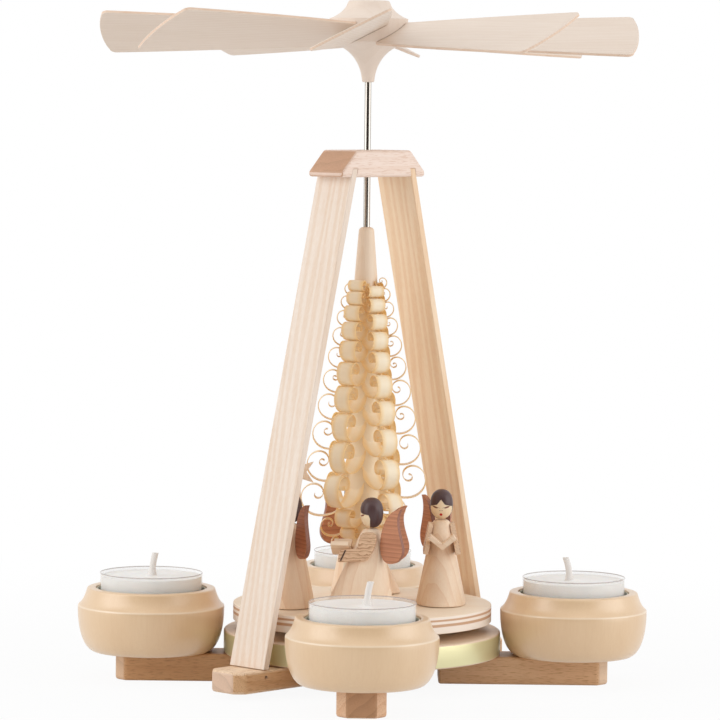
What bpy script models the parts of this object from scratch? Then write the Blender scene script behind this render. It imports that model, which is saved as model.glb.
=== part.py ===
"""Christmas pyramid: angels ride a turntable round a tree of shaved curls, turned by a fan above tealights.

Metres, +Z up. The origin is on the table, under the axis that the rotor turns on.
"""
import math

import bmesh
import bpy
from mathutils import Matrix, Vector
from mathutils.geometry import interpolate_bezier

# Clearances
SEAT = 0.0003           # between pieces that rest on, or are let into, one another
PLAY = 0.0003           # round the shaft, in every hole that it passes through

# Sides of the object and the direction each one points in, seen from above
SIDES = {"left": 180.0, "right": 0.0, "front": -90.0, "back": 90.0}

# Cross of candle arms and the foot beam
ARM_WIDTH = 0.018
ARM_HEIGHT = 0.0104
ARM_INNER = 0.029
ARM_OUTER = 0.0932
BEAM_WIDTH = 0.018
BEAM_HEIGHT = 0.008
BEAM_REACH = 0.0736
END_CHAMFER = 0.0037
FRAME_ANGLE = 226.0     # degrees, direction of the foot beam, the legs and the bridge

# Base disc and the bearing let into it
DISC_RADIUS = 0.0525
DISC_THICKNESS = 0.0088
DISC_CHAMFER = 0.0006
BEARING_RADIUS = 0.005
BEARING_HEIGHT = 0.005
DIMPLE_RADIUS = 0.0032
DIMPLE_DEPTH = 0.003

# Legs and bridge
LEG_WIDTH = 0.018
LEG_THICKNESS = 0.0027
LEG_FOOT_RADIUS = 0.0612
LEG_TOP_RADIUS = 0.0177  # where a leg enters the bridge
BRIDGE_BOTTOM = 0.1912
BRIDGE_HEIGHT = 0.010
BRIDGE_WIDTH = 0.018
BRIDGE_LENGTH = 0.045
BRIDGE_TOP_LENGTH = 0.0294
BRIDGE_LIP = 0.0014
BRIDGE_HOUSING = 0.0032  # how deep the legs are let into the bridge
BUSH_RADIUS = 0.0030

# Candle bowls, their metal liners and the tealights
CANDLE_RADIUS = 0.0802  # from the axis of the pyramid to the axis of a bowl
BOWL_FOOT_RADIUS = 0.0225
BOWL_BELLY_RADIUS = 0.0278
BOWL_RIM_RADIUS = 0.0238
BOWL_BELLY_HEIGHT = 0.0180
BOWL_HEIGHT = 0.0240
BOWL_FLOOR = 0.0086
CUP_RADIUS = 0.0195
CUP_HEIGHT = 0.020
CUP_WALL = 0.001
CUP_FLOOR = 0.0012
CUP_PLAY = 0.0008       # between the glass and the liner
LINER_WALL = 0.0004
LINER_DROP = 0.0006     # rim of the liner below the rim of the bowl
WAX_DROP = 0.0025       # top of the wax below the rim of the glass
WICK_RADIUS = 0.0011
WICK_LENGTH = 0.009

# Rotor: shaft, turntable and tree
SHAFT_RADIUS = 0.00125
SHAFT_POINT = 0.0018    # length of the pointed lower end
TURNTABLE_RADIUS = 0.049
TURNTABLE_THICKNESS = 0.0064
TURNTABLE_GAP = 0.0037  # above the base disc
POST_FOOT_RADIUS = 0.0078
POST_CURL_RADIUS = 0.00425
POST_TIP_RADIUS = 0.0028
POST_TIP_BEVEL = 0.0009
POST_LENGTH = 0.0184    # bare post above the curls
CURL_ROWS = 10
CURL_FIRST_PITCH = 0.0043
CURL_PITCH_STEP = 0.00096
CURL_FOOT_PITCHES = (0.0071, 0.0040)
CURL_COLUMN_SHIFTS = (0.0, 0.5, -0.2, 0.3, 0.1, 0.35)  # of a row, how far each column is lower
CURL_FOOT_HEIGHT = 0.0244  # lowest curl above the turntable
CURL_WIDTH = 0.0058
CURL_THICKNESS = 0.0005
CURL_REACH = 0.98       # how far the top row is stretched outwards
CURL_REACH_STEP = 0.04  # more stretch from each row to the one below
CURL_ROOT_ANGLE = 26.0  # degrees, half of the post's facet that a curl is shaved from

# Angels
ANGEL_RADIUS = 0.0298
ANGEL_DIRECTIONS = {"left": 203.9, "right": -2.4, "front": -92.4, "back": 87.6}  # degrees, seen from above
ANGEL_TURNS = {"left": -23.9, "right": 3.0, "front": -6.5, "back": 0.0}  # degrees, each on its own foot
GOWN_HEIGHT = 0.0314
GOWN_HALF_WIDTH = 0.0095
GOWN_HALF_DEPTH = 0.0136
NECK_RADIUS = 0.0032
NECK_BACK = 0.0044      # neck behind the middle of the gown's foot
NECK_BEVEL = 0.0008
HEAD_RADIUS = 0.0044
HEAD_HEIGHT = 0.0111
SLEEVE_THICKNESS = 0.0020
SLEEVE_SINK = 0.0005    # sleeve let into the gown
SHOULDER_HEIGHT = 0.0302
ELBOW_HEIGHT = 0.0196
SLEEVE_WIDTH = 0.0066
SLEEVE_BACK = 0.0027    # of that width, behind the neck
FOREARM_WIDTH = 0.0044
FOREARM_REACH = 0.0115  # hand in front of the neck
SLEEVE_CORNER = 0.0010
WING_THICKNESS = 0.0018
WING_WIDTH = 0.0100
WING_HEIGHT = 0.0207
WING_FOOT = 0.0189      # lowest point of a wing above the turntable
WING_SPLAY = 26.0       # degrees, from straight back
STRAIGHT_WING_SPLAY = 6.0  # degrees, the outer wings of the left and right angels
WING_ROOT = 0.0026      # inner edge of a wing beside the angel's middle
BOOK_WIDTH = 0.0068
BOOK_LENGTH = 0.0068
BOOK_THICKNESS = 0.0015
BOOK_SLOPE = 36.0       # degrees, each cover of the open book
BOOK_HEIGHT = 0.0222
STAFF_RADIUS = 0.0006
STAFF_FOOT = 0.0180
STAR_RADIUS = 0.0067
STAR_HOLLOW = 0.0027    # from the middle of the star to its inner corners
STAR_TURN = -18.0       # degrees, how far the star leans
STAR_HEIGHT = 0.0498
STAR_BESIDE = 0.0029    # staff beside the angel's middle, towards the shaft
STAR_THICKNESS = 0.0018

# Fan
FAN_CLEARANCE = 0.0255  # lower end of the hub above the bridge
HUB_HEIGHT = 0.0306
HUB_RADIUS = 0.0148
HUB_BAND = 0.0090       # height of the cylindrical band that holds the blades
HUB_BAND_BOTTOM = 0.0148
HUB_CAP_RADIUS = 0.0076
HUB_CAP_HEIGHT = 0.0019
HUB_CAP_TAPER = 0.0008
HUB_NECK_RADIUS = 0.0023
HUB_BORE_DEPTH = 0.0166
BLADE_COUNT = 8
BLADE_PHASE = -93.8     # degrees, direction of the first blade
BLADE_PITCH = 27.0      # degrees
BLADE_ROOT_RADIUS = 0.0130
BLADE_TIP_RADIUS = 0.102
BLADE_ROOT_WIDTH = 0.0174
BLADE_TIP_WIDTH = 0.032
BLADE_SWELL = 0.0008    # how far the long edges bow outwards
BLADE_CORNER = 0.0025
BLADE_BULGE = 0.0024    # how far the tip bows outwards
BLADE_THICKNESS = 0.0012
BLADE_DROP = 0.0013     # middle of the blades below the middle of the band

# Facets round each kind of turned piece
DISC_FACETS = 48
BOWL_FACETS = 24
CUP_FACETS = 24
HUB_FACETS = 24
ROD_FACETS = 12
GOWN_FACETS = 16
HEAD_FACETS = 12

# Heights and sizes that follow from the sizes above
DISC_BOTTOM = ARM_HEIGHT + SEAT
DISC_TOP = DISC_BOTTOM + DISC_THICKNESS
BEARING_TOP = DISC_TOP
BEARING_BOTTOM = BEARING_TOP - BEARING_HEIGHT
SHAFT_BOTTOM = BEARING_TOP - DIMPLE_DEPTH + SEAT
TURNTABLE_BOTTOM = DISC_TOP + TURNTABLE_GAP
TURNTABLE_TOP = TURNTABLE_BOTTOM + TURNTABLE_THICKNESS
RIDER_BOTTOM = TURNTABLE_TOP + SEAT
HOLE_RADIUS = SHAFT_RADIUS + PLAY
BRIDGE_TOP = BRIDGE_BOTTOM + BRIDGE_HEIGHT
HUB_BOTTOM = BRIDGE_TOP + FAN_CLEARANCE
SHAFT_TOP = HUB_BOTTOM + HUB_BORE_DEPTH - SEAT
BLADE_HEIGHT = HUB_BOTTOM + HUB_BAND_BOTTOM + HUB_BAND / 2 - BLADE_DROP
LINER_RADIUS = CUP_RADIUS + CUP_PLAY + LINER_WALL
BOWL_BORE = LINER_RADIUS + SEAT
BOWL_BOTTOM = ARM_HEIGHT + SEAT
LINER_BOTTOM = BOWL_BOTTOM + BOWL_FLOOR + SEAT
CUP_BOTTOM = LINER_BOTTOM + LINER_WALL + SEAT
CURL_BOTTOM = RIDER_BOTTOM + CURL_FOOT_HEIGHT


def clear_scene():
    for obj in list(bpy.data.objects):
        bpy.data.objects.remove(obj, do_unlink=True)


def make_material(name, colour, roughness, metallic=0.0):
    material = bpy.data.materials.new(name)
    material.use_nodes = True
    shader = material.node_tree.nodes["Principled BSDF"]
    shader.inputs["Base Color"].default_value = (*colour, 1.0)
    shader.inputs["Roughness"].default_value = roughness
    shader.inputs["Metallic"].default_value = metallic
    return material


def add_empty(name, location=(0, 0, 0), turn=0.0, parent=None):
    empty = bpy.data.objects.new(name, None)
    empty.location = location
    empty.rotation_euler = (0, 0, turn)
    empty.parent = parent
    bpy.context.scene.collection.objects.link(empty)
    return empty


def add_mesh(name, bm, material):
    """Turns a bmesh into a mesh that is smooth except at its sharp edges."""
    bmesh.ops.recalc_face_normals(bm, faces=bm.faces)
    mesh = bpy.data.meshes.new(name)
    bm.to_mesh(mesh)
    bm.free()
    mesh.materials.append(material)
    mesh.shade_smooth()
    mesh.set_sharp_from_angle(angle=math.radians(35))
    return mesh


def add_object(name, mesh, parent, location=(0, 0, 0), turn=0.0):
    obj = bpy.data.objects.new(name, mesh)
    obj.location = location
    obj.rotation_euler = (0, 0, turn)
    obj.parent = parent
    bpy.context.scene.collection.objects.link(obj)
    return obj


def combine(obj, tool, operation):
    """Joins a hidden tool to an object, or cuts it out."""
    tool.hide_render = True
    tool.display_type = "WIRE"
    modifier = obj.modifiers.new(tool.name, "BOOLEAN")
    modifier.operation = operation
    modifier.solver = "EXACT"
    modifier.object = tool


def turned(profile, facets):
    """Spins (radius, height) points round Z: a solid if they end on the axis, else a closed ring."""
    bm = bmesh.new()
    verts = [bm.verts.new((radius, 0, height)) for radius, height in profile]
    edges = [bm.edges.new(pair) for pair in zip(verts, verts[1:])]
    if profile[0][0] > 0:
        edges.append(bm.edges.new((verts[-1], verts[0])))
    bmesh.ops.spin(bm, geom=verts + edges, axis=(0, 0, 1), cent=(0, 0, 0), angle=math.tau, steps=facets,
                   use_merge=True)
    bmesh.ops.remove_doubles(bm, verts=bm.verts, dist=1e-7)
    return bm


def sawn(outline, depth, placement):
    """Saws a flat outline in XY out of a board of the given depth along Z, then places it."""
    bm = bmesh.new()
    face = bm.faces.new([bm.verts.new((x, y, -depth / 2)) for x, y in outline])
    extruded = bmesh.ops.extrude_face_region(bm, geom=[face])["geom"]
    raised = [item for item in extruded if isinstance(item, bmesh.types.BMVert)]
    bmesh.ops.translate(bm, verts=raised, vec=(0, 0, depth))
    bmesh.ops.transform(bm, matrix=placement, verts=bm.verts)
    return bm


def arc(centre, radius, start, end, steps):
    """Points on an arc in a plane, angles in degrees."""
    points = []
    for step in range(steps + 1):
        angle = math.radians(start + (end - start) * step / steps)
        points.append((centre[0] + radius * math.cos(angle), centre[1] + radius * math.sin(angle)))
    return points


def bow(start, start_handle, end_handle, end, steps):
    """Points on a Bezier curve in a plane, without its last point."""
    knots = [Vector((*point, 0)) for point in (start, start_handle, end_handle, end)]
    curve = interpolate_bezier(*knots, steps + 1)
    return [(point.x, point.y) for point in curve[:-1]]


def beam_outline(inner, outer, width, chamfers_inner):
    """A bar along X whose outer corners, and inner ones if wanted, are cut off."""
    half = width / 2
    outline = [(outer - END_CHAMFER, -half), (outer, END_CHAMFER - half),
               (outer, half - END_CHAMFER), (outer - END_CHAMFER, half)]
    if chamfers_inner:
        return outline + [(inner + END_CHAMFER, half), (inner, half - END_CHAMFER),
                          (inner, END_CHAMFER - half), (inner + END_CHAMFER, -half)]
    return outline + [(inner, half), (inner, -half)]


# Standing frame
def build_frame(parent, finishes):
    frame_turn = math.radians(FRAME_ANGLE)
    arm = sawn(beam_outline(ARM_INNER, ARM_OUTER, ARM_WIDTH, False), ARM_HEIGHT,
               Matrix.Translation((0, 0, ARM_HEIGHT / 2)))
    arm_mesh = add_mesh("candle_arm", arm, finishes["beech"])
    for side, direction in SIDES.items():
        add_object(f"candle_arm_{side}", arm_mesh, parent, turn=math.radians(direction))

    beam = sawn(beam_outline(-BEAM_REACH, BEAM_REACH, BEAM_WIDTH, True), BEAM_HEIGHT,
                Matrix.Translation((0, 0, ARM_HEIGHT - BEAM_HEIGHT / 2)))
    add_object("foot_beam", add_mesh("foot_beam", beam, finishes["beech"]), parent, turn=frame_turn)

    pocket = BEARING_RADIUS + SEAT
    pocket_floor = BEARING_BOTTOM - SEAT
    disc = turned([(0, DISC_BOTTOM), (DISC_RADIUS - DISC_CHAMFER, DISC_BOTTOM),
                   (DISC_RADIUS, DISC_BOTTOM + DISC_CHAMFER), (DISC_RADIUS, DISC_TOP - DISC_CHAMFER),
                   (DISC_RADIUS - DISC_CHAMFER, DISC_TOP), (pocket, DISC_TOP), (pocket, pocket_floor),
                   (0, pocket_floor)], DISC_FACETS)
    add_object("base_disc", add_mesh("base_disc", disc, finishes["lime"]), parent)

    bearing = turned([(0, BEARING_BOTTOM), (BEARING_RADIUS, BEARING_BOTTOM), (BEARING_RADIUS, BEARING_TOP),
                      (DIMPLE_RADIUS, BEARING_TOP), (0, BEARING_TOP - DIMPLE_DEPTH)], ROD_FACETS)
    add_object("bearing_cup", add_mesh("bearing_cup", bearing, finishes["steel"]), parent)

    build_legs(parent, finishes, frame_turn)
    build_bridge(parent, finishes, frame_turn)


def leg_profile(top, slack):
    """Side view of a leaning leg up to a height, with slack before and behind it."""
    foot = ARM_HEIGHT + SEAT
    lean = (LEG_FOOT_RADIUS - LEG_TOP_RADIUS) / (BRIDGE_BOTTOM - foot)
    level_thickness = LEG_THICKNESS * math.hypot(1, lean)
    top_radius = LEG_FOOT_RADIUS - lean * (top - foot)
    return [(LEG_FOOT_RADIUS - level_thickness - slack, foot), (LEG_FOOT_RADIUS + slack, foot),
            (top_radius + slack, top), (top_radius - level_thickness - slack, top)]


def build_legs(parent, finishes, frame_turn):
    leg = sawn(leg_profile(BRIDGE_BOTTOM + BRIDGE_HOUSING, 0), LEG_WIDTH, Matrix.Rotation(math.pi / 2, 4, "X"))
    leg_mesh = add_mesh("leg", leg, finishes["ash"])
    add_object("leg_left", leg_mesh, parent, turn=frame_turn)
    add_object("leg_right", leg_mesh, parent, turn=frame_turn + math.pi)


def build_bridge(parent, finishes, frame_turn):
    lip = BRIDGE_BOTTOM + BRIDGE_LIP
    half = BRIDGE_LENGTH / 2
    half_top = BRIDGE_TOP_LENGTH / 2
    profile = [(-half, BRIDGE_BOTTOM), (half, BRIDGE_BOTTOM), (half, lip), (half_top, BRIDGE_TOP),
               (-half_top, BRIDGE_TOP), (-half, lip)]
    bridge = sawn(profile, BRIDGE_WIDTH, Matrix.Rotation(math.pi / 2, 4, "X"))
    bridge_obj = add_object("bridge", add_mesh("bridge", bridge, finishes["beech"]), parent, turn=frame_turn)

    bore = BUSH_RADIUS + SEAT
    overrun = BRIDGE_HEIGHT
    drill = turned([(0, BRIDGE_BOTTOM - overrun), (bore, BRIDGE_BOTTOM - overrun),
                    (bore, BRIDGE_TOP + overrun), (0, BRIDGE_TOP + overrun)], ROD_FACETS)
    drill_mesh = add_mesh("bridge_drill", drill, finishes["beech"])
    combine(bridge_obj, add_object("bridge_drill", drill_mesh, parent), "DIFFERENCE")
    housing = sawn(leg_profile(BRIDGE_BOTTOM + BRIDGE_HOUSING + SEAT, SEAT), 2 * BRIDGE_WIDTH,
                   Matrix.Rotation(math.pi / 2, 4, "X"))
    housing_mesh = add_mesh("leg_housing", housing, finishes["beech"])
    for name, turn in (("leg_housing_left", frame_turn), ("leg_housing_right", frame_turn + math.pi)):
        combine(bridge_obj, add_object(name, housing_mesh, parent, turn=turn), "DIFFERENCE")

    bush = turned([(HOLE_RADIUS, BRIDGE_BOTTOM), (BUSH_RADIUS, BRIDGE_BOTTOM), (BUSH_RADIUS, BRIDGE_TOP),
                   (HOLE_RADIUS, BRIDGE_TOP)], ROD_FACETS)
    add_object("bridge_bush", add_mesh("bridge_bush", bush, finishes["brass"]), parent)


# Candle bowls
def bowl_profile():
    """Foot, swelling belly, crisp shoulder and a hollow neck up to the rim, then down into the bore."""
    belly = BOWL_BELLY_HEIGHT
    spread = BOWL_BELLY_RADIUS - BOWL_FOOT_RADIUS
    swell = bow((BOWL_FOOT_RADIUS, 0), (BOWL_FOOT_RADIUS + 0.6 * spread, 0.12 * belly),
                (BOWL_BELLY_RADIUS, 0.45 * belly), (BOWL_BELLY_RADIUS, belly), 4)
    neck = BOWL_HEIGHT - belly
    shoulder = (BOWL_BELLY_RADIUS, belly)
    step = BOWL_BELLY_RADIUS - BOWL_RIM_RADIUS
    hollow = bow(shoulder, (BOWL_RIM_RADIUS + 0.45 * step, belly + 0.25 * neck),
                 (BOWL_RIM_RADIUS + 0.25 * step, belly + 0.5 * neck),
                 (BOWL_RIM_RADIUS, BOWL_HEIGHT), 3)
    return [(0, 0)] + swell + hollow + [(BOWL_RIM_RADIUS, BOWL_HEIGHT), (BOWL_BORE, BOWL_HEIGHT),
                                        (BOWL_BORE, BOWL_FLOOR), (0, BOWL_FLOOR)]


def build_candles(frame, finishes):
    bowl_mesh = add_mesh("candle_bowl", turned(bowl_profile(), BOWL_FACETS), finishes["maple"])

    liner_height = BOWL_BOTTOM + BOWL_HEIGHT - LINER_DROP - LINER_BOTTOM
    liner_bore = LINER_RADIUS - LINER_WALL
    liner = turned([(0, 0), (LINER_RADIUS, 0), (LINER_RADIUS, liner_height), (liner_bore, liner_height),
                    (liner_bore, LINER_WALL), (0, LINER_WALL)], CUP_FACETS)
    liner_mesh = add_mesh("bowl_liner", liner, finishes["steel"])

    cup_bore = CUP_RADIUS - CUP_WALL
    cup = turned([(0, 0), (CUP_RADIUS, 0), (CUP_RADIUS, CUP_HEIGHT), (cup_bore, CUP_HEIGHT),
                  (cup_bore, CUP_FLOOR), (0, CUP_FLOOR)], CUP_FACETS)
    cup_mesh = add_mesh("tealight_cup", cup, finishes["glass"])

    wax_radius = cup_bore - SEAT
    wax_bottom = CUP_FLOOR + SEAT
    wax_top = CUP_HEIGHT - WAX_DROP
    candle = turned([(0, wax_bottom), (wax_radius, wax_bottom), (wax_radius, wax_top), (WICK_RADIUS, wax_top),
                     (WICK_RADIUS, wax_top + WICK_LENGTH), (0, wax_top + WICK_LENGTH)], CUP_FACETS)
    candle_mesh = add_mesh("tealight_candle", candle, finishes["wax"])

    for side, direction in SIDES.items():
        angle = math.radians(direction)
        x = CANDLE_RADIUS * math.cos(angle)
        y = CANDLE_RADIUS * math.sin(angle)
        add_object(f"candle_bowl_{side}", bowl_mesh, frame, (x, y, BOWL_BOTTOM))
        add_object(f"bowl_liner_{side}", liner_mesh, frame, (x, y, LINER_BOTTOM))
        tealight = add_empty(f"tealight_{side}", (x, y, CUP_BOTTOM), parent=frame)
        add_object(f"tealight_cup_{side}", cup_mesh, tealight)
        add_object(f"tealight_candle_{side}", candle_mesh, tealight)


# Rotor
def build_shaft_and_turntable(rotor, finishes):
    shaft = turned([(0, SHAFT_BOTTOM), (SHAFT_RADIUS, SHAFT_BOTTOM + SHAFT_POINT), (SHAFT_RADIUS, SHAFT_TOP),
                    (0, SHAFT_TOP)], ROD_FACETS)
    add_object("shaft", add_mesh("shaft", shaft, finishes["steel"]), rotor)
    turntable = turned([(HOLE_RADIUS, TURNTABLE_BOTTOM), (TURNTABLE_RADIUS, TURNTABLE_BOTTOM),
                        (TURNTABLE_RADIUS, TURNTABLE_TOP), (HOLE_RADIUS, TURNTABLE_TOP)], DISC_FACETS)
    add_object("turntable", add_mesh("turntable", turntable, finishes["plywood"]), rotor)


def curl_rows():
    """Lower edge and height of each row of curls, from the top row down, above the lowest curl."""
    pitches = [CURL_FIRST_PITCH + CURL_PITCH_STEP * row for row in range(CURL_ROWS)]
    pitches += CURL_FOOT_PITCHES
    rows = []
    bottom = sum(pitches)
    for pitch in pitches:
        bottom -= pitch
        rows.append((bottom, pitch))
    return rows


def curl_path(reach):
    """A shaving of height 1: down and away from the post, up round the outside, then rolled inwards."""
    lengths = (0.62, 0.55, 0.50, 0.48, 0.42, 0.33, 0.25, 0.18, 0.15)
    turn_per_length = 60.0
    heading = -75.0
    out, up = 0.0, 0.0
    path = []
    for length in lengths:
        out += reach * length * math.cos(math.radians(heading))
        up += length * math.sin(math.radians(heading))
        path.append((out, up, math.radians(heading + turn_per_length / 2)))
        heading += turn_per_length
    return path


def post_radius(height):
    """The post tapers evenly from the turntable to the top of the curls."""
    share = (height - RIDER_BOTTOM) / (curl_top() - RIDER_BOTTOM)
    return POST_FOOT_RADIUS + (POST_CURL_RADIUS - POST_FOOT_RADIUS) * share


def curl_top():
    """Top of the shaved stretch: the topmost row stands above the highest column's shift."""
    top_bottom, top_pitch = curl_rows()[0]
    return CURL_BOTTOM + top_bottom + 1.5 * top_pitch


def stitch(bm, left, right):
    """Closes the narrow strip of post between two columns, whose edges are split at different heights."""
    i, j = 0, 0
    while i + 1 < len(left) or j + 1 < len(right):
        take_left = j + 1 == len(right) or (i + 1 < len(left) and left[i + 1].co.z <= right[j + 1].co.z)
        if take_left:
            bm.faces.new((left[i], right[j], left[i + 1]))
            i += 1
        else:
            bm.faces.new((left[i], right[j], right[j + 1]))
            j += 1


def add_curl(bm, root, azimuth, base_radius, base_height, pitch, reach):
    """Grows one shaving out of the four corners of its root, given as lower pair then upper pair."""
    radial = Vector((math.cos(azimuth), math.sin(azimuth), 0))
    across = Vector((-math.sin(azimuth), math.cos(azimuth), 0))
    last = root
    for out, up, heading in curl_path(reach):
        centre = radial * (base_radius + out * pitch) + Vector((0, 0, base_height + up * pitch))
        inward = radial * -math.sin(heading) + Vector((0, 0, math.cos(heading)))
        half = inward * CURL_THICKNESS / 2
        side = across * CURL_WIDTH / 2
        section = [bm.verts.new(centre + offset) for offset in
                   (-half - side, -half + side, half + side, half - side)]
        for k in range(4):
            bm.faces.new((last[k], last[(k + 1) % 4], section[(k + 1) % 4], section[k]))
        last = section
    bm.faces.new(last)


def build_tree(rotor, finishes):
    """The post and all its shavings are one piece of wood, bored through for the shaft."""
    bm = bmesh.new()
    half_facet = math.radians(CURL_ROOT_ANGLE)
    top = curl_top()

    def ring_vert(angle, radius, height):
        return bm.verts.new((radius * math.cos(angle), radius * math.sin(angle), height))

    left_edges, right_edges, angles = [], [], []
    columns = len(CURL_COLUMN_SHIFTS)
    for column, shift in enumerate(CURL_COLUMN_SHIFTS):
        azimuth = math.tau * column / columns - 2 * math.pi / 3
        angles += [azimuth - half_facet, azimuth + half_facet]
        left = [ring_vert(azimuth - half_facet, POST_FOOT_RADIUS, RIDER_BOTTOM)]
        right = [ring_vert(azimuth + half_facet, POST_FOOT_RADIUS, RIDER_BOTTOM)]
        for row, (bottom, pitch) in reversed(list(enumerate(curl_rows()))):
            shift_pitch = CURL_FIRST_PITCH + CURL_PITCH_STEP * min(row, CURL_ROWS - 1)
            root_height = CURL_BOTTOM + bottom - shift * shift_pitch + 0.78 * pitch
            corners = []
            for height in (root_height - CURL_THICKNESS / 2, root_height + CURL_THICKNESS / 2):
                radius = post_radius(height)
                corners.append(ring_vert(azimuth - half_facet, radius, height))
                corners.append(ring_vert(azimuth + half_facet, radius, height))
            bm.faces.new((left[-1], right[-1], corners[1], corners[0]))
            root = [corners[0], corners[1], corners[3], corners[2]]
            flat_radius = post_radius(root_height) * math.cos(half_facet)
            add_curl(bm, root, azimuth, flat_radius, root_height, pitch, CURL_REACH + CURL_REACH_STEP * row)
            left += [corners[0], corners[2]]
            right += [corners[1], corners[3]]
        left.append(ring_vert(azimuth - half_facet, POST_CURL_RADIUS, top))
        right.append(ring_vert(azimuth + half_facet, POST_CURL_RADIUS, top))
        bm.faces.new((left[-2], right[-2], right[-1], left[-1]))
        left_edges.append(left)
        right_edges.append(right)
    for column in range(columns):
        stitch(bm, right_edges[column], left_edges[(column + 1) % columns])

    tip = top + POST_LENGTH
    rings = [[edge[0] for pair in zip(left_edges, right_edges) for edge in pair],
             [edge[-1] for pair in zip(left_edges, right_edges) for edge in pair]]
    for radius, height in ((POST_TIP_RADIUS, tip - POST_TIP_BEVEL), (POST_TIP_RADIUS - POST_TIP_BEVEL, tip),
                           (HOLE_RADIUS, tip), (HOLE_RADIUS, RIDER_BOTTOM)):
        rings.append([ring_vert(angle, radius, height) for angle in angles])
    for lower, upper in zip(rings[1:], rings[2:] + rings[:1]):
        for k in range(len(angles)):
            n = (k + 1) % len(angles)
            bm.faces.new((lower[k], lower[n], upper[n], upper[k]))
    add_object("curl_tree", add_mesh("curl_tree", bm, finishes["lime"]), rotor)


# Angels: each looks along -Y of its own empty, and the turntable's middle is towards -X
def gown_section(height):
    """Half width, half depth and middle of the gown at a height."""
    share = height / GOWN_HEIGHT
    half_width = GOWN_HALF_WIDTH + (NECK_RADIUS - GOWN_HALF_WIDTH) * share
    half_depth = GOWN_HALF_DEPTH + (NECK_RADIUS - GOWN_HALF_DEPTH) * share
    return half_width, half_depth, NECK_BACK * share


def gown_front(height):
    half_width, half_depth, middle = gown_section(height)
    return middle - half_depth


def gown_back(height, beside):
    """Back of the gown at a distance beside its middle."""
    half_width, half_depth, middle = gown_section(height)
    inside = max(0.0, 1 - (beside / half_width) ** 2)
    return middle + half_depth * math.sqrt(inside)


def build_gown(name, angel, finishes):
    bm = bmesh.new()
    levels = [(0, 1.0), (GOWN_HEIGHT - NECK_BEVEL, 1.0), (GOWN_HEIGHT, 1 - NECK_BEVEL / NECK_RADIUS)]
    rings = []
    for height, shrink in levels:
        half_width, half_depth, middle = gown_section(height)
        ring = []
        for k in range(GOWN_FACETS):
            angle = math.tau * k / GOWN_FACETS
            ring.append(bm.verts.new((shrink * half_width * math.cos(angle),
                                      middle + shrink * half_depth * math.sin(angle), height)))
        rings.append(ring)
    for lower, upper in zip(rings, rings[1:]):
        bmesh.ops.bridge_loops(bm, edges=[*ring_edges(bm, lower), *ring_edges(bm, upper)])
    bm.faces.new(rings[0])
    bm.faces.new(rings[-1])
    gown = add_object(f"{name}_body", add_mesh(f"{name}_body", bm, finishes["maple"]), angel)
    for side in (-1, 1):
        sleeve_mesh = add_mesh("sleeve", build_sleeve(side), finishes["maple"])
        combine(gown, add_object(f"{name}_sleeve_{side}", sleeve_mesh, angel), "UNION")


def ring_edges(bm, ring):
    """Edges round a ring of vertices, made where they are missing."""
    edges = []
    for a, b in zip(ring, ring[1:] + ring[:1]):
        edges.append(bm.edges.get((a, b)) or bm.edges.new((a, b)))
    return edges


def build_sleeve(side):
    """A flat bent arm: upper arm down from the shoulder, forearm straight ahead."""
    back = -SLEEVE_BACK
    crook = ELBOW_HEIGHT + FOREARM_WIDTH
    hand = FOREARM_REACH - SLEEVE_CORNER
    front = back + SLEEVE_WIDTH
    nape = SHOULDER_HEIGHT - SLEEVE_CORNER
    outline = [(back + SLEEVE_WIDTH / 2, ELBOW_HEIGHT), (hand, ELBOW_HEIGHT),
               (FOREARM_REACH, crook - SLEEVE_CORNER), (hand, crook),
               (front + SLEEVE_CORNER, crook), (front, nape),
               (front - SLEEVE_CORNER, SHOULDER_HEIGHT), (back + SLEEVE_CORNER, SHOULDER_HEIGHT), (back, nape)]
    slope = math.atan2(GOWN_HALF_WIDTH - NECK_RADIUS, GOWN_HEIGHT)
    shoulder_side = gown_section(SHOULDER_HEIGHT)[0]
    to_profile = Matrix(((0, 0, 1, 0), (-1, 0, 0, 0), (0, 1, 0, 0), (0, 0, 0, 1)))
    hang = Matrix.Translation((side * shoulder_side, NECK_BACK, SHOULDER_HEIGHT))
    hang = hang @ Matrix.Rotation(-side * slope, 4, "Y")
    inset = Matrix.Translation((side * (SLEEVE_THICKNESS / 2 - SLEEVE_SINK), 0, -SHOULDER_HEIGHT))
    return sawn(outline, SLEEVE_THICKNESS, hang @ inset @ to_profile)


def wing_outline():
    """An S-shaped wing, tip up and back: x is away from the body, y is up from the wing's foot."""
    w, h = WING_WIDTH, WING_HEIGHT
    foot, tip = (0.42 * w, 0), (0.92 * w, h)
    outer = bow(foot, (0.86 * w, 0), (1.10 * w, 0.17 * h), (0.97 * w, 0.36 * h), 5)
    hollow = bow((0.97 * w, 0.36 * h), (0.84 * w, 0.58 * h), (0.62 * w, 0.80 * h), tip, 5)
    inner = bow(tip, (0.40 * w, 0.98 * h), (0.05 * w, 0.72 * h), (0, 0.36 * h), 6)
    heel = bow((0, 0.36 * h), (-0.02 * w, 0.14 * h), (0.14 * w, 0), foot, 4)
    return outer + hollow + inner + heel


def build_wing(side, splay_degrees):
    """A wing standing off the back of the gown by the seating gap."""
    splay = math.radians(splay_degrees)
    away = Vector((side * math.sin(splay), math.cos(splay), 0))
    normal = Vector((math.cos(splay), -side * math.sin(splay), 0))
    outline = wing_outline()
    setback = -1.0
    for out, up in outline:
        for face in (-0.5, 0.5):
            point = Vector((side * WING_ROOT, 0, 0)) + away * out + normal * face * WING_THICKNESS
            setback = max(setback, gown_back(WING_FOOT + up, point.x) - point.y)
    place = Matrix((
        (away.x, 0, normal.x, side * WING_ROOT),
        (away.y, 0, normal.y, setback + SEAT),
        (0, 1, 0, WING_FOOT),
        (0, 0, 0, 1)))
    return sawn(outline, WING_THICKNESS, place)


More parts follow.
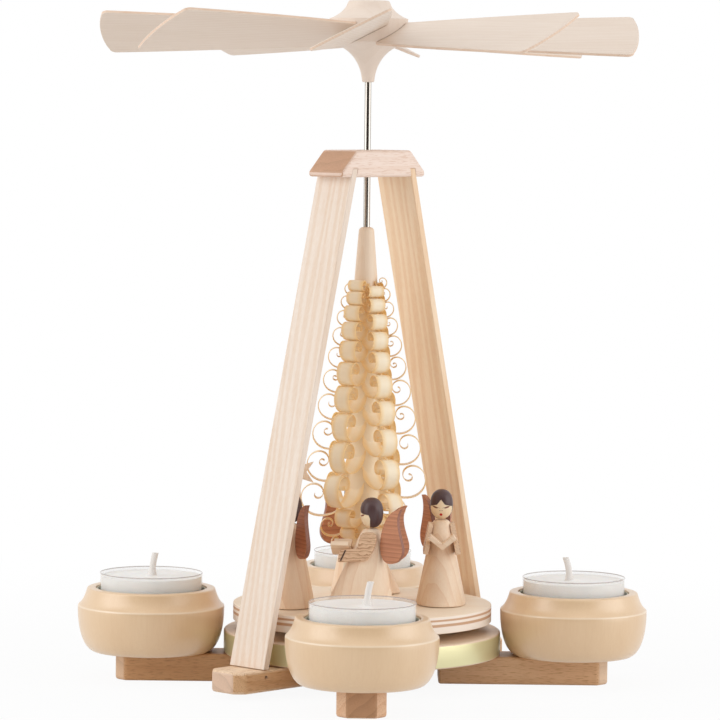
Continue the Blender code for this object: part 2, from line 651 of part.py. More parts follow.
def build_book():
    """An open book, its two covers in a V, held against the chest."""
    slope = math.radians(BOOK_SLOPE)
    edge = (BOOK_WIDTH * math.cos(slope), BOOK_WIDTH * math.sin(slope))
    lift = BOOK_THICKNESS / math.cos(slope)
    top_edge = (edge[0] - BOOK_THICKNESS * math.sin(slope), edge[1] + BOOK_THICKNESS * math.cos(slope))
    outline = [(0, 0), edge, top_edge, (0, lift), (-top_edge[0], top_edge[1]), (-edge[0], edge[1])]
    back = gown_front(BOOK_HEIGHT) - SEAT
    place = Matrix.Translation((0, back - BOOK_LENGTH / 2, BOOK_HEIGHT)) @ Matrix.Rotation(math.pi / 2, 4, "X")
    return sawn(outline, BOOK_LENGTH, place)


def build_star(name, angel, finishes):
    """A five-pointed star on a staff that stands against the gown, between the hands."""
    staff_front = gown_front(STAFF_FOOT) - SEAT - STAFF_RADIUS
    points = []
    for k in range(10):
        radius = STAR_RADIUS if k % 2 == 0 else STAR_HOLLOW
        angle = math.radians(90 + STAR_TURN) + math.tau * k / 10
        points.append((radius * math.cos(angle), radius * math.sin(angle)))
    place = Matrix.Translation((-STAR_BESIDE, staff_front, STAR_HEIGHT)) @ Matrix.Rotation(math.pi / 2, 4, "X")
    star = add_object(name, add_mesh(name, sawn(points, STAR_THICKNESS, place), finishes["maple"]), angel)
    staff = turned([(0, STAFF_FOOT), (STAFF_RADIUS, STAFF_FOOT), (STAFF_RADIUS, STAR_HEIGHT), (0, STAR_HEIGHT)],
                   ROD_FACETS)
    bmesh.ops.translate(staff, verts=staff.verts, vec=(-STAR_BESIDE, staff_front, 0))
    combine(star, add_object(f"{name}_staff", add_mesh("staff", staff, finishes["maple"]), angel), "UNION")


def build_angels(rotor, finishes):
    half_head = HEAD_HEIGHT / 2
    head_height = GOWN_HEIGHT + SEAT + half_head
    head_profile = [(HEAD_RADIUS * across, half_head * up) for up, across in arc((0, 0), 1, 180, 0, 7)]
    head_profile[0] = (0, -half_head)
    head_profile[-1] = (0, half_head)
    head_mesh = add_mesh("angel_head", turned(head_profile, HEAD_FACETS), finishes["painted"])
    for side, direction in ANGEL_DIRECTIONS.items():
        name = f"angel_{side}"
        angle = math.radians(direction)
        place = (ANGEL_RADIUS * math.cos(angle), ANGEL_RADIUS * math.sin(angle), RIDER_BOTTOM)
        angel = add_empty(name, place, angle + math.radians(ANGEL_TURNS[side]), rotor)
        build_gown(name, angel, finishes)
        add_object(f"{name}_head", head_mesh, angel, (0, NECK_BACK, head_height))
        outer_splay = STRAIGHT_WING_SPLAY if side in ("left", "right") else WING_SPLAY
        for wing, wing_side, splay in (("outer_wing", 1, outer_splay), ("inner_wing", -1, WING_SPLAY)):
            wing_name = f"{name}_{wing}"
            add_object(wing_name, add_mesh(wing_name, build_wing(wing_side, splay), finishes["walnut"]), angel)
        if side == "left":
            build_star(f"{name}_star", angel, finishes)
        else:
            book_name = f"{name}_book"
            add_object(book_name, add_mesh(book_name, build_book(), finishes["maple"]), angel)


# Fan
def hub_profile():
    """Trumpet-shaped foot with a blind bore, a band that holds the blades, and a hollow shoulder to the cap."""
    band_top = HUB_BAND_BOTTOM + HUB_BAND
    cap_bottom = HUB_HEIGHT - HUB_CAP_HEIGHT
    flare = bow((HUB_NECK_RADIUS, 0), (1.2 * HUB_NECK_RADIUS, 0.45 * HUB_BAND_BOTTOM),
                (0.42 * HUB_RADIUS, 0.86 * HUB_BAND_BOTTOM), (HUB_RADIUS, HUB_BAND_BOTTOM), 6)
    cap_foot = HUB_CAP_RADIUS + HUB_CAP_TAPER
    shoulder = HUB_RADIUS - cap_foot
    rise = cap_bottom - band_top
    hollow = bow((HUB_RADIUS, band_top), (HUB_RADIUS - 0.5 * shoulder, band_top + 0.2 * rise),
                 (cap_foot + 0.1 * shoulder, band_top + 0.7 * rise), (cap_foot, cap_bottom), 3)
    bore_top = HUB_BORE_DEPTH
    bore = [(0, bore_top), (HOLE_RADIUS, bore_top), (HOLE_RADIUS, 0)]
    cap = [(cap_foot, cap_bottom), (HUB_CAP_RADIUS, HUB_HEIGHT), (0, HUB_HEIGHT)]
    return bore + flare + [(HUB_RADIUS, HUB_BAND_BOTTOM)] + hollow + cap


def blade_outline():
    """A blade along X, widening to a bowed tip with rounded corners."""
    root, tip = BLADE_ROOT_RADIUS, BLADE_TIP_RADIUS
    half_root, half_tip = BLADE_ROOT_WIDTH / 2, BLADE_TIP_WIDTH / 2
    third = (tip - root) / 3
    handle = half_root + (half_tip - half_root) / 3 + BLADE_SWELL
    far_handle = half_tip - (half_tip - half_root) / 3 + BLADE_SWELL
    corner = (tip - BLADE_BULGE - BLADE_CORNER, half_tip - BLADE_CORNER)
    lower = bow((root, -half_root), (root + third, -handle), (tip - third, -far_handle),
                (corner[0], -half_tip), 5)
    upper = bow((corner[0], half_tip), (tip - third, far_handle), (root + third, handle), (root, half_root), 5)
    first = arc((corner[0], -corner[1]), BLADE_CORNER, -90, 0, 3)
    second = arc(corner, BLADE_CORNER, 0, 90, 3)
    bowed = [(tip - BLADE_BULGE / 4, -half_tip / 2), (tip, 0), (tip - BLADE_BULGE / 4, half_tip / 2)]
    return lower + first + bowed + second[:-1] + upper + [(root, half_root)]


def blade_placement(azimuth, rise):
    """Turns a blade to its pitch, its leading edge up, and then round the hub."""
    spin = Matrix.Rotation(azimuth, 4, "Z")
    pitch = Matrix.Rotation(math.radians(BLADE_PITCH), 4, "X")
    return Matrix.Translation((0, 0, rise)) @ spin @ pitch


def build_fan(rotor, finishes):
    fan = add_empty("fan", (0, 0, HUB_BOTTOM), parent=rotor)
    rise = BLADE_HEIGHT - HUB_BOTTOM
    hub = add_object("fan_hub", add_mesh("fan_hub", turned(hub_profile(), HUB_FACETS), finishes["lime"]), fan)
    slot_inner = BLADE_ROOT_RADIUS - SEAT
    slot_outer = 1.4 * HUB_RADIUS
    slot_half = BLADE_ROOT_WIDTH / 2 + 0.2 * BLADE_ROOT_WIDTH
    slot = [(slot_inner, -slot_half), (slot_outer, -slot_half),
            (slot_outer, slot_half), (slot_inner, slot_half)]
    for blade in range(BLADE_COUNT):
        azimuth = math.radians(BLADE_PHASE + blade * 360 / BLADE_COUNT)
        place = blade_placement(azimuth, rise)
        blade_name = f"fan_blade_{blade + 1}"
        board = sawn(blade_outline(), BLADE_THICKNESS, place)
        add_object(blade_name, add_mesh(blade_name, board, finishes["lime"]), fan)
        saw = sawn(slot, BLADE_THICKNESS + 2 * SEAT, place)
        saw_name = f"slot_saw_{blade + 1}"
        combine(hub, add_object(saw_name, add_mesh(saw_name, saw, finishes["lime"]), fan), "DIFFERENCE")


def main():
    clear_scene()
    finishes = {
        "beech": make_material("beech", (0.62, 0.42, 0.28), 0.55),
        "ash": make_material("ash", (0.76, 0.61, 0.44), 0.55),
        "maple": make_material("maple", (0.80, 0.62, 0.40), 0.45),
        "lime": make_material("lime", (0.84, 0.72, 0.55), 0.6),
        "plywood": make_material("plywood", (0.78, 0.63, 0.43), 0.5),
        "walnut": make_material("walnut", (0.35, 0.13, 0.06), 0.5),
        "painted": make_material("painted", (0.80, 0.66, 0.46), 0.35),
        "steel": make_material("steel", (0.55, 0.55, 0.53), 0.25, 1.0),
        "brass": make_material("brass", (0.72, 0.53, 0.25), 0.3, 1.0),
        "glass": make_material("glass", (0.92, 0.95, 0.94), 0.05),
        "wax": make_material("wax", (0.90, 0.89, 0.86), 0.4),
    }
    frame = add_empty("frame")
    rotor = add_empty("rotor")
    build_frame(frame, finishes)
    build_candles(frame, finishes)
    build_shaft_and_turntable(rotor, finishes)
    build_tree(rotor, finishes)
    build_angels(rotor, finishes)
    build_fan(rotor, finishes)


main()
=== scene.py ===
"""Looks of the Christmas pyramid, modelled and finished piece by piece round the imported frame.

Metres, +Z up. Each piece is shaped in a frame of its own, its grain is laid there, and it is then put in its
place.
"""
import math
import random

import bpy
from mathutils import Matrix, Vector
from mathutils.geometry import interpolate_bezier


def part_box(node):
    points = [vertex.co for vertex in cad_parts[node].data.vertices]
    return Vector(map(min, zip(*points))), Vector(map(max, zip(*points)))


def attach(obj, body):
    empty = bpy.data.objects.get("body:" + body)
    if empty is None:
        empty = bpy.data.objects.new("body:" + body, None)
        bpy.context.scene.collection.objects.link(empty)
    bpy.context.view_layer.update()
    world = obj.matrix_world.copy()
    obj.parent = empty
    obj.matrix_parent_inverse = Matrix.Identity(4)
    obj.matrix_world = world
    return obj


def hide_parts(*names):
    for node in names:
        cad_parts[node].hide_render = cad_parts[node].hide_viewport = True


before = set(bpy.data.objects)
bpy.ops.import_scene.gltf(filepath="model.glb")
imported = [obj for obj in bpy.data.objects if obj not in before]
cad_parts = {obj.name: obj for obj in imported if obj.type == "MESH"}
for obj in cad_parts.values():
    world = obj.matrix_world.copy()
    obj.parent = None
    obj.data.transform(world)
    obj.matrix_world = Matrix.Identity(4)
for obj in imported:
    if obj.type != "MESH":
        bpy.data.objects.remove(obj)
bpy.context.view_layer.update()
chance = random.Random(24)

# How the pieces stand in the frame, in degrees seen from above
SIDES = {"left": 180.0, "right": 0.0, "front": -90.0, "back": 90.0}
FRAME_ANGLE = 226.0
ANGEL_DIRECTIONS = {"left": 203.9, "right": -2.4, "front": -92.4, "back": 87.6}
ANGEL_TURNS = {"left": -23.9, "right": 3.0, "front": -6.5, "back": 0.0}
FACE_TURNS = {"left": 0.0, "right": -5.0, "front": 8.0, "back": 4.0}
BLADE_COUNT = 8
BLADE_PHASE = -93.8
BLADE_PITCH = 27.0
STANDING = Matrix.Rotation(math.pi / 2, 4, "X")  # raises what was drawn flat

# Edges, facets and clearances
WELD = 1e-7
SMOOTH_ANGLE = math.radians(32)
SHARP_ANGLE = math.radians(40)
EASED = 0.0010          # rounding of sawn edges on the arms, the beam and the bridge
EASED_THIN = 0.0003     # on the legs, the turntable and the shaft
EASED_FINE = 0.0002     # on the angels
EASED_BLADE = 0.00025
EASED_RIM = 0.0004      # on small turned rims
ROUND_FACETS = 128
HEAD_FACETS = 96
SMALL_FACETS = 48
FINE_FACETS = 16
SHAFT_POINT = 0.0018    # height of the shaft's pointed end
SHAFT_PLAY = 0.0003     # round the shaft in the pieces that it carries
SEAT_PLAY = 0.0002      # round the shaft in its bush, and round the bearing cup
BUSH_PLAY = 0.0001
NO_OFFSET = (0, 0, 0)

# Frame
END_CHAMFER = 0.0037
PIN_RADIUS = 0.0007
PIN_DRILL = 0.004
PIN_HEIGHT = 0.0015     # above the middle of the beam
BRIDGE_LIP = 0.0020
BRIDGE_TOP_LENGTH = 0.0294
BUSH_DRILL = 0.1
HOUSING_GAP = 0.00004
DISC_EASE = 0.0008
DIMPLE_SHARE = 0.64     # of the bearing cup's radius
DIMPLE_DEPTH = 0.003
# The arms are one beech in lit and shaded copies. The ends of the left, back and right arms are painted paler
# than their long grain, as painted light. The front arm's end is painted dark, as painted shade, and its
# chamfers keep the paler side colour, as painted light.
ARM_FINISHES = {"left": "beech", "right": "right_beech_lit_end", "front": "front_beech_shaded_end", "back": "beech"}

# Bowls and tealights
BOWL_BELLY_RADIUS = 0.0278
BOWL_FOOT_RADIUS = 0.0225
BOWL_RIM_RADIUS = 0.0243
BOWL_BELLY_HEIGHT = 0.0172
BOWL_FLOOR = 0.0086
LINER_PLAY = 0.0003
LINER_WALL = 0.0004
CUP_WALL = 0.0004
CUP_FLOOR = 0.0008
WAX_PLAY = 0.00005
WAX_DROP = 0.0015
WAX_HILL = 0.0009       # rise of the wax at the wick
WICK_RADIUS = 0.0012
WICK_FOOT = 1.7         # radius in the wax, in wick radii
WICK_NECKING = 0.77     # of the radius, in each of the first two steps
WICK_LENGTH = 0.0088
WICK_STEPS = 8
WICK_EASE = 0.0003
WICK_PLACES = {"left": 0.0003, "right": -0.0016, "front": 0.0016, "back": 0.0}
WICK_LEANS = {"left": 0.0012, "right": -0.0016, "front": 0.0012, "back": 0.0005}

# Tree
CURL_ROWS = 10
CURL_FIRST_PITCH = 0.0043
CURL_PITCH_STEP = 0.00096
CURL_FOOT_PITCHES = (0.0071, 0.0040)
CURL_COLUMN_SHIFTS = (0.0, 0.5, -0.2, 0.3, 0.1, 0.35)
CURL_FIRST_COLUMN = -120.0
CURL_FOOT_HEIGHT = 0.0244
CURL_WIDTH = 0.0064
CURL_STRIPS = 4
CURL_THICKNESS = 0.0006  # at the root; a shaving thins out towards its end and its sides
CURL_REACH = 0.98
CURL_REACH_STEP = 0.04
CURL_ROOT_ANGLE = 26.0
CURL_ROOT_HEIGHT = 0.78  # of a row's pitch
CURL_TIGHTNESS = (-0.1, 0.2)  # this and the next two are drawn for each shaving
CURL_LAST_HEADING = (470, 620)
CURL_LEAN = 1.5
CURL_SMOOTH_ANGLE = math.radians(50)
POST_FOOT_RADIUS = 0.0078
POST_CURL_RADIUS = 0.00425
POST_TIP_RADIUS = 0.0028
POST_TOP = 1.5           # end of the taper above the top row's lower edge, in pitches of that row
POST_SEAM = 1.05         # below the end of the taper, in the same pitches
POST_DOME = 0.0014

# Angels
ANGEL_RADIUS = 0.0298
GOWN_HEIGHT = 0.0314
GOWN_HALF_WIDTH = 0.0095
GOWN_HALF_DEPTH = 0.0136
NECK_RADIUS = 0.0032
NECK_BACK = 0.0044
NECK_ROUNDING = 0.0016
HEAD_RADIUS = 0.0042
HEAD_HEIGHT = 0.0111
HAIR_THICKNESS = 0.00012
SLEEVE_THICKNESS = 0.0020
SLEEVE_SINK = 0.0005
SHOULDER_HEIGHT = 0.0302
ELBOW_HEIGHT = 0.0196
SLEEVE_WIDTH = 0.0066
SLEEVE_BACK = 0.0027
FOREARM_WIDTH = 0.0044
FOREARM_REACH = 0.0115
CUFF_WIDTH = 0.0006
CUFF_PROUD = 0.0001
WING_THICKNESS = 0.0018
WING_WIDTH = 0.0100
WING_HEIGHT = 0.0207
WING_SPLAY = 26.0
STRAIGHT_WING_SPLAY = 6.0
BOOK_WIDTH = 0.0068
BOOK_THICKNESS = 0.0018
BOOK_SLOPE = 38.0
BOOK_SINK = 0.0010
STAR_RADIUS = 0.0067
STAR_HOLLOW = 0.0027
STAR_TURN = -18.0
STAFF_RADIUS = 0.0006
STAFF_TIP_RADIUS = 0.0005

# Fan
HUB_BAND = 0.0090
HUB_BAND_BOTTOM = 0.0148
HUB_RADIUS = 0.0148
HUB_CAP_RADIUS = 0.0076
HUB_CAP_HEIGHT = 0.0019
HUB_NECK_RADIUS = 0.0023
BLADE_ROOT_WIDTH = 0.0174
BLADE_TIP_WIDTH = 0.032
BLADE_SWELL = 0.0008
BLADE_CORNER = 0.0025
BLADE_BULGE = 0.0024
BLADE_THICKNESS = 0.0012
SLOT_PLAY = 0.0003
SLOT_SIDE_PLAY = 0.0012

# Stage
WHITE = (1.0, 1.0, 1.0, 1.0)
FLOOR_PAINT = (0.82, 0.82, 0.82, 1.0)
FLOOR_SIZE = 12.0
FLAG_PLACE = (0, -1.6, 0.6)
FLAG_SIZE = (2.8, 1.4, 1.0)
SHADOW_REACH = (0.12, 0.40)  # the shadow fades out between these distances
SHADOW_SHARE = 0.07
WORLD_LIGHT = 0.62
LAMP_SIZE = 0.9
LAMP_TARGET = Vector((0.0, 0.0, 0.11))
LAMPS = {"left_softbox": ((-0.95, -0.35, 0.55), 4.9), "right_softbox": ((0.95, -0.30, 0.34), 4.2),
         "top_softbox": ((0.0, 0.15, 1.20), 1.5)}
CAMERA_LENS = 193.29
CAMERA_SENSOR = 36.0
CAMERA_REACH = 50.0
CAMERA_PLACE = (-0.0019, -1.4588, 0.2212)
CAMERA_DIP = 0.068
CAMERA_ROLL = 0.0112


# Measuring the frame
def turn_z(degrees):
    return Matrix.Rotation(math.radians(degrees), 4, "Z")


def shift(x, y, z):
    return Matrix.Translation((x, y, z))


def raised(low, high):
    """A lift to the middle height of a box."""
    return shift(0, 0, (low.z + high.z) / 2)


def points_of(node, place):
    """Corners of a CAD node in the axes of a placement."""
    inverse = place.inverted()
    return [inverse @ vertex.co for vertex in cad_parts[node].data.vertices]


def extent(points):
    """Lowest and highest corner of the box round points."""
    return [Vector([pick(point[axis] for point in points) for axis in range(3)]) for pick in (min, max)]


def level(points, height):
    """Points within a hair of a height."""
    return [point for point in points if abs(point.z - height) < 0.0001]


# Modelling, each piece in a frame of its own
def arc(centre, radius, start, end, steps):
    """Points on an arc in a plane, angles in degrees."""
    angles = [math.radians(start + (end - start) * step / steps) for step in range(steps + 1)]
    return [(centre[0] + radius * math.cos(a), centre[1] + radius * math.sin(a)) for a in angles]


def bow(start, start_handle, end_handle, end, steps):
    """Points on a Bezier curve in a plane, without its last point."""
    knots = [Vector((*point, 0)) for point in (start, start_handle, end_handle, end)]
    return [(point.x, point.y) for point in interpolate_bezier(*knots, steps + 1)[:-1]]


def eased(corner, before, after, radius, steps=4):
    """A corner of an outline rounded between its two neighbours."""
    corner, before, after = Vector(corner), Vector(before), Vector(after)
    start = corner + (before - corner).normalized() * radius
    end = corner + (after - corner).normalized() * radius
    curve = bow(start, corner.lerp(start, 0.45), corner.lerp(end, 0.45), end, steps)
    return curve + [tuple(end)]


def select_only(*pieces):
    """Selects pieces and makes the last of them active."""
    bpy.ops.object.select_all(action="DESELECT")
    for piece in pieces:
        piece.select_set(True)
    bpy.context.view_layer.objects.active = pieces[-1]


def begin(name, add, **settings):
    """A primitive to model a piece from, selected alone."""
    bpy.ops.object.select_all(action="DESELECT")
    add(**settings)
    piece = bpy.context.object
    piece.name = name
    return piece


def pull(move):
    """Extrudes what is selected."""
    bpy.ops.mesh.extrude_region_move(TRANSFORM_OT_translate={"value": move})


def draw_line(name, points):
    """Draws a chain of edges by extruding one vertex from point to point, and stays in edit mode."""
    piece = begin(name, bpy.ops.mesh.primitive_plane_add, size=0.001)
    piece.data.name = name
    bpy.ops.object.mode_set(mode="EDIT")
    bpy.ops.mesh.merge(type="CENTER")
    bpy.ops.transform.translate(value=points[0])
    for start, end in zip(points, points[1:]):
        bpy.ops.mesh.extrude_vertices_move(TRANSFORM_OT_translate={"value": end - start})
    bpy.ops.mesh.select_all(action="SELECT")
    return piece


def pick_points(piece, chosen):
    """Selects some of a piece's points in edit mode."""
    bpy.ops.object.mode_set(mode="EDIT")
    bpy.ops.mesh.select_mode(type="VERT")
    bpy.ops.mesh.select_all(action="DESELECT")
    bpy.ops.object.mode_set(mode="OBJECT")
    for vertex, wanted in zip(piece.data.vertices, chosen):
        vertex.select = wanted
    bpy.ops.object.mode_set(mode="EDIT")


def close_up(piece):
    """Merges doubled points, turns the faces outwards and leaves edit mode."""
    bpy.ops.mesh.select_all(action="SELECT")
    bpy.ops.mesh.remove_doubles(threshold=WELD)
    bpy.ops.mesh.normals_make_consistent(inside=False)
    bpy.ops.object.mode_set(mode="OBJECT")
    bpy.ops.object.shade_smooth_by_angle(angle=SMOOTH_ANGLE)
    return piece


def apply_modifier(piece, kind, **settings):
    select_only(piece)
    bpy.ops.object.modifier_add(type=kind)
    modifier = piece.modifiers[-1]
    for key, value in settings.items():
        setattr(modifier, key, value)
    bpy.ops.object.modifier_apply(modifier=modifier.name)


def turned(name, profile, facets=ROUND_FACETS):
    """Spins (radius, height) points round Z on the lathe."""
    piece = draw_line(name, [Vector((radius, 0, height)) for radius, height in profile])
    bpy.ops.mesh.spin(steps=facets, angle=math.tau, center=(0, 0, 0), axis=(0, 0, 1))
    return close_up(piece)


def sawn(name, outline, depth, ease, steps=3):
    """Saws an outline in XY out of a board of some depth along Z, and rounds its sharp edges."""
    corners = [Vector((x, y, -depth / 2)) for x, y in outline]
    piece = draw_line(name, corners + corners[:1])
    bpy.ops.mesh.remove_doubles(threshold=WELD)
    bpy.ops.mesh.edge_face_add()
    pull((0, 0, depth))
    close_up(piece)
    if ease:
        apply_modifier(piece, "BEVEL", width=ease, segments=steps, limit_method="ANGLE",
                       angle_limit=SHARP_ANGLE)
        bpy.ops.object.shade_smooth_by_angle(angle=SMOOTH_ANGLE)
    return piece


def carve(piece, tool):
    """Cuts a tool out of a piece and throws the tool away."""
    apply_modifier(piece, "BOOLEAN", operation="DIFFERENCE", solver="EXACT", object=tool)
    bpy.data.objects.remove(tool, do_unlink=True)
    bpy.ops.object.shade_smooth_by_angle(angle=SMOOTH_ANGLE)


def settle(piece, place):
    """Moves a piece to its place and leaves its object at the origin."""
    piece.matrix_world = place
    select_only(piece)
    bpy.ops.object.transform_apply(location=True, rotation=True, scale=True)
    return piece


def cylinder(name, radius, length, place):
    """A drill along Z of its placement."""
    drill = begin(name, bpy.ops.mesh.primitive_cylinder_add, vertices=SMALL_FACETS, radius=radius,
                  depth=length)
    return settle(drill, place)


def copy_of(piece, name):
    """A copy with a mesh of its own."""
    copy = piece.copy()
    copy.data = piece.data.copy()
    copy.name = name
    copy.data.name = name
    bpy.context.scene.collection.objects.link(copy)
    return copy


def keep(piece, name, domain, values, kind="FLOAT", field="value"):
    """Keeps a value with each point or face of a piece."""
    kept = piece.data.attributes.new(name, kind, domain)
    for entry, value in zip(kept.data, values):
        setattr(entry, field, value)


def keep_grain(piece, places):
    """Keeps each point's place along and across the grain."""
    keep(piece, "grain", "POINT", places, "FLOAT_VECTOR", "vector")


def lay_grain(piece, axes="xyz", offset=NO_OFFSET):
    """Keeps each point's place in the grain, and how far each face shows end grain."""
    order = ["xyz".index(axis) for axis in axes]
    keep_grain(piece, [[vertex.co[axis] + offset[k] for k, axis in enumerate(order)]
                       for vertex in piece.data.vertices])
    keep(piece, "end_grain", "FACE", [abs(face.normal[order[0]]) for face in piece.data.polygons])


def mark_upright(piece):
    """Keeps how far each face stands upright, for rims that are finished apart from the faces."""
    keep(piece, "upright", "FACE", [1 - abs(face.normal.z) for face in piece.data.polygons])


def random_offset():
    """A place in the log that a piece was cut from."""
    return [chance.uniform(-0.2, 0.2), chance.uniform(-0.004, 0.004), chance.uniform(-0.004, 0.004)]


def hand_over(piece, body, slot, finish, *nodes):
    """Gives a settled piece its finish, if it has none yet, and hands it to the frame."""
    if finish:
        piece.data.materials.append(FINISHES[finish])
    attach(piece, body)
    if nodes:
        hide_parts(*nodes)


def place_piece(piece, axes, offset, place, body, slot, finish, *nodes):
    """Lays the grain of a piece, puts it in its place and hands it over."""
    lay_grain(piece, axes, offset)
    settle(piece, place)
    hand_over(piece, body, slot, finish, *nodes)


# Shader nodes
def srgb(red, green, blue):
    """A colour given in screen values from 0 to 255, as the linear values that shaders take."""
    def linear(value):
        share = value / 255
        return share / 12.92 if share <= 0.04045 else ((share + 0.055) / 1.055) ** 2.4
    return (linear(red), linear(green), linear(blue), 1.0)


def dimmed(colour, share):
    return [part * share for part in colour[:3]] + [1.0]


class Reading:
    """A socket whose values can be worked with as in a sum."""

    def __init__(self, nodes, socket):
        self.nodes = nodes
        self.socket = socket

    def sum(self, operation, first, second=0.0):
        return self.nodes.node("ShaderNodeMath", {"operation": operation}, {0: first, 1: second})

    def __add__(self, other):
        return self.sum("ADD", self, other)

    def __sub__(self, other):
        return self.sum("SUBTRACT", self, other)

    def __rsub__(self, other):
        return self.sum("SUBTRACT", other, self)

    def __mul__(self, other):
        return self.sum("MULTIPLY", self, other)

    def __truediv__(self, other):
        return self.sum("DIVIDE", self, other)

    def __pow__(self, other):
        return self.sum("POWER", self, other)

    def __abs__(self):
        return self.sum("ABSOLUTE", self)

    __radd__ = __add__
    __rmul__ = __mul__

    def fraction(self):
        return self.sum("FRACT", self)

    def above(self, other):
        """The larger of two readings."""
        return self.sum("MAXIMUM", self, other)

    def between(self, low, high):
        """Rises smoothly from 0 at one value to 1 at another."""
        return self.nodes.node("ShaderNodeMapRange", {"interpolation_type": "SMOOTHSTEP"},
                               {0: self, 1: low, 2: high, 3: 0.0, 4: 1.0})


class Nodes:
    """The node tree of a material or of the world."""

    def __init__(self, tree):
        self.tree = tree

    def put(self, value, target):
        if isinstance(value, Reading):
            self.tree.links.new(value.socket, target)
        else:
            target.default_value = value

    def node(self, kind, settings, sockets, output=0):
        """Any node: its settings first, then the values or links of its sockets."""
        node = self.tree.nodes.new(kind)
        for key, value in settings.items():
            setattr(node, key, value)
        for key, value in sockets.items():
            self.put(value, node.inputs[key])
        return Reading(self, node.outputs[output])

    def vector(self, operation, first, second, output=0):
        return self.node("ShaderNodeVectorMath", {"operation": operation}, {0: first, 1: second}, output)

    def parts(self, vector):
        """The three numbers of a vector."""
        return [self.node("ShaderNodeSeparateXYZ", {}, {0: vector}, k) for k in range(3)]

    def mix(self, share, first, second):
        return self.node("ShaderNodeMix", {"data_type": "RGBA", "clamp_factor": True},
                         {0: share, 6: first, 7: second}, 2)

    def blend(self, share, first, second):
        """Mixes two colours given in screen values."""
        return self.mix(share, srgb(*first), srgb(*second))

    def seen_directly(self):
        """1 for rays from the camera, from glossy surfaces and through glass, else 0."""
        camera, glossy, through = [self.node("ShaderNodeLightPath", {}, {}, f"Is {kind} Ray")
                                   for kind in ("Camera", "Glossy", "Transmission")]
        return camera.above(glossy).above(through)


class Finish(Nodes):
    """A material, its principled shader and the nodes that feed it."""

    def __init__(self, name, **settings):
        self.material = bpy.data.materials.new(name)
        self.material.use_nodes = True
        super().__init__(self.material.node_tree)
        self.shader = self.tree.nodes["Principled BSDF"]
        for socket, value in settings.items():
            self.feed(socket.replace("_", " "), value)

    def feed(self, socket, value):
        self.put(value, self.shader.inputs[socket])

    def kept(self, name, output=2):
        """What the points or faces of a piece keep: a number, or a vector from output 1."""
        return self.node("ShaderNodeAttribute", {"attribute_name": name}, {}, output)

    def grain(self):
        return self.kept("grain", 1)

    def noise(self, sizes, detail=2.0, roughness=0.5):
        """Noise whose patches have the given sizes along the three axes of the grain."""
        stretched = self.vector("MULTIPLY", self.grain(), [1 / size for size in sizes])
        return self.node("ShaderNodeTexNoise", {}, {"Vector": stretched, "Scale": 1.0, "Detail": detail,
                                                    "Roughness": roughness})

    def show(self, look):
        """Shows another shader than the principled one."""
        self.put(look, self.tree.nodes["Material Output"].inputs["Surface"])

    def done(self, colour, rough, relief=None, depth=0.0, strength=1.0):
        """Feeds colour, roughness and any relief, and gives the material."""
        self.feed("Base Color", colour)
        self.feed("Roughness", rough)
        if relief:
            self.feed("Normal", self.node("ShaderNodeBump", {}, {"Strength": strength, "Distance": depth,
                                                                 "Height": relief}))
        return self.material


# Finishes
def wood_tone(finish, ring, ring_depth, fibre_depth, heart=(0.0, 0.021, 0.034), waviness=1.6, taper=0.06,
              patch=(0.060, 0.012, 0.012), soft=False):
    """Growth rings round a heart beside the piece, and fibres along the grain; 0 is pale and 1 is deep."""
    slow = finish.noise(patch)
    fibres = finish.noise((0.014, 0.00055, 0.00055), 3.0, 0.6)
    flat = finish.vector("MULTIPLY", finish.vector("ADD", finish.grain(), heart), (taper, 1.0, 1.0))
    distance = finish.vector("LENGTH", flat, (0, 0, 0), 1)
    rings = (distance / ring + slow * waviness).fraction()
    rings = (abs(rings - 0.5) * 2.0).between(0.2, 0.8) if soft else rings ** 2.5
    tone = rings * ring_depth + (fibres - 0.5) * fibre_depth + (slow - 0.5) * 0.5 + 0.25
    return tone, fibres


def wood(name, pale, deep, ring, ring_depth, fibre_depth, end=None, end_from=(0.35, 0.75), lit_square_from=None,
         fleck=None, rim=None, **ways):
    """A bare wood, with its rim, flecks and end grain where they differ; square ends may be left pale as
    painted light where a lamp faces them.
    """
    finish = Finish(name)
    tone, fibres = wood_tone(finish, ring, ring_depth, fibre_depth, **ways)
    colour = finish.blend(tone, pale, deep)
    if rim:
        colour = finish.mix(finish.kept("upright").between(0.5, 0.9), colour, finish.blend(tone, *rim))
    if fleck:
        specks = finish.noise((0.0034, 0.00030, 0.00030), 1.0)
        colour = finish.mix(specks.between(0.52, 0.70) * 0.6, colour, srgb(*fleck))
    if end:
        ends = finish.mix(tone, srgb(*end), dimmed(srgb(*end), 0.72))
        cut = finish.kept("end_grain")
        dark = cut.between(*end_from) * 0.85
        # Painted light: end faces that stand square keep most of the face colour, as if a lamp lit them.
        if lit_square_from:
            dark = dark * (1 - cut.between(*lit_square_from) * 0.75)
        colour = finish.mix(dark, colour, ends)
    return finish.done(colour, fibres * 0.25 + 0.38, fibres, 0.00006, 0.5)


def waxed_maple():
    """The wood of the bowls, waxed, with a pale line painted along the edge of the shoulder as a painted
    highlight.
    """
    finish = Finish("waxed_maple", Specular_IOR_Level=0.9, Coat_Weight=0.7, Coat_Roughness=0.35)
    tone, fibres = wood_tone(finish, 0.0060, 0.05, 0.4, waviness=2.4)
    up = finish.parts(finish.node("ShaderNodeTexCoord", {}, {}, "Object"))[2]
    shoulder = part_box("candle_bowl_right")[0].z + BOWL_BELLY_HEIGHT
    # Painted highlight: a pale line along the edge of the shoulder.
    shoulder_highlight = (0.00045 - abs(up - shoulder)).between(0.0, 0.0003)
    body = finish.blend(tone, (232, 200, 160), (213, 171, 123))
    return finish.done(finish.mix(shoulder_highlight * 0.4, body, srgb(255, 240, 218)), fibres * 0.2 + 0.26,
                       fibres, 0.00006, 0.5)


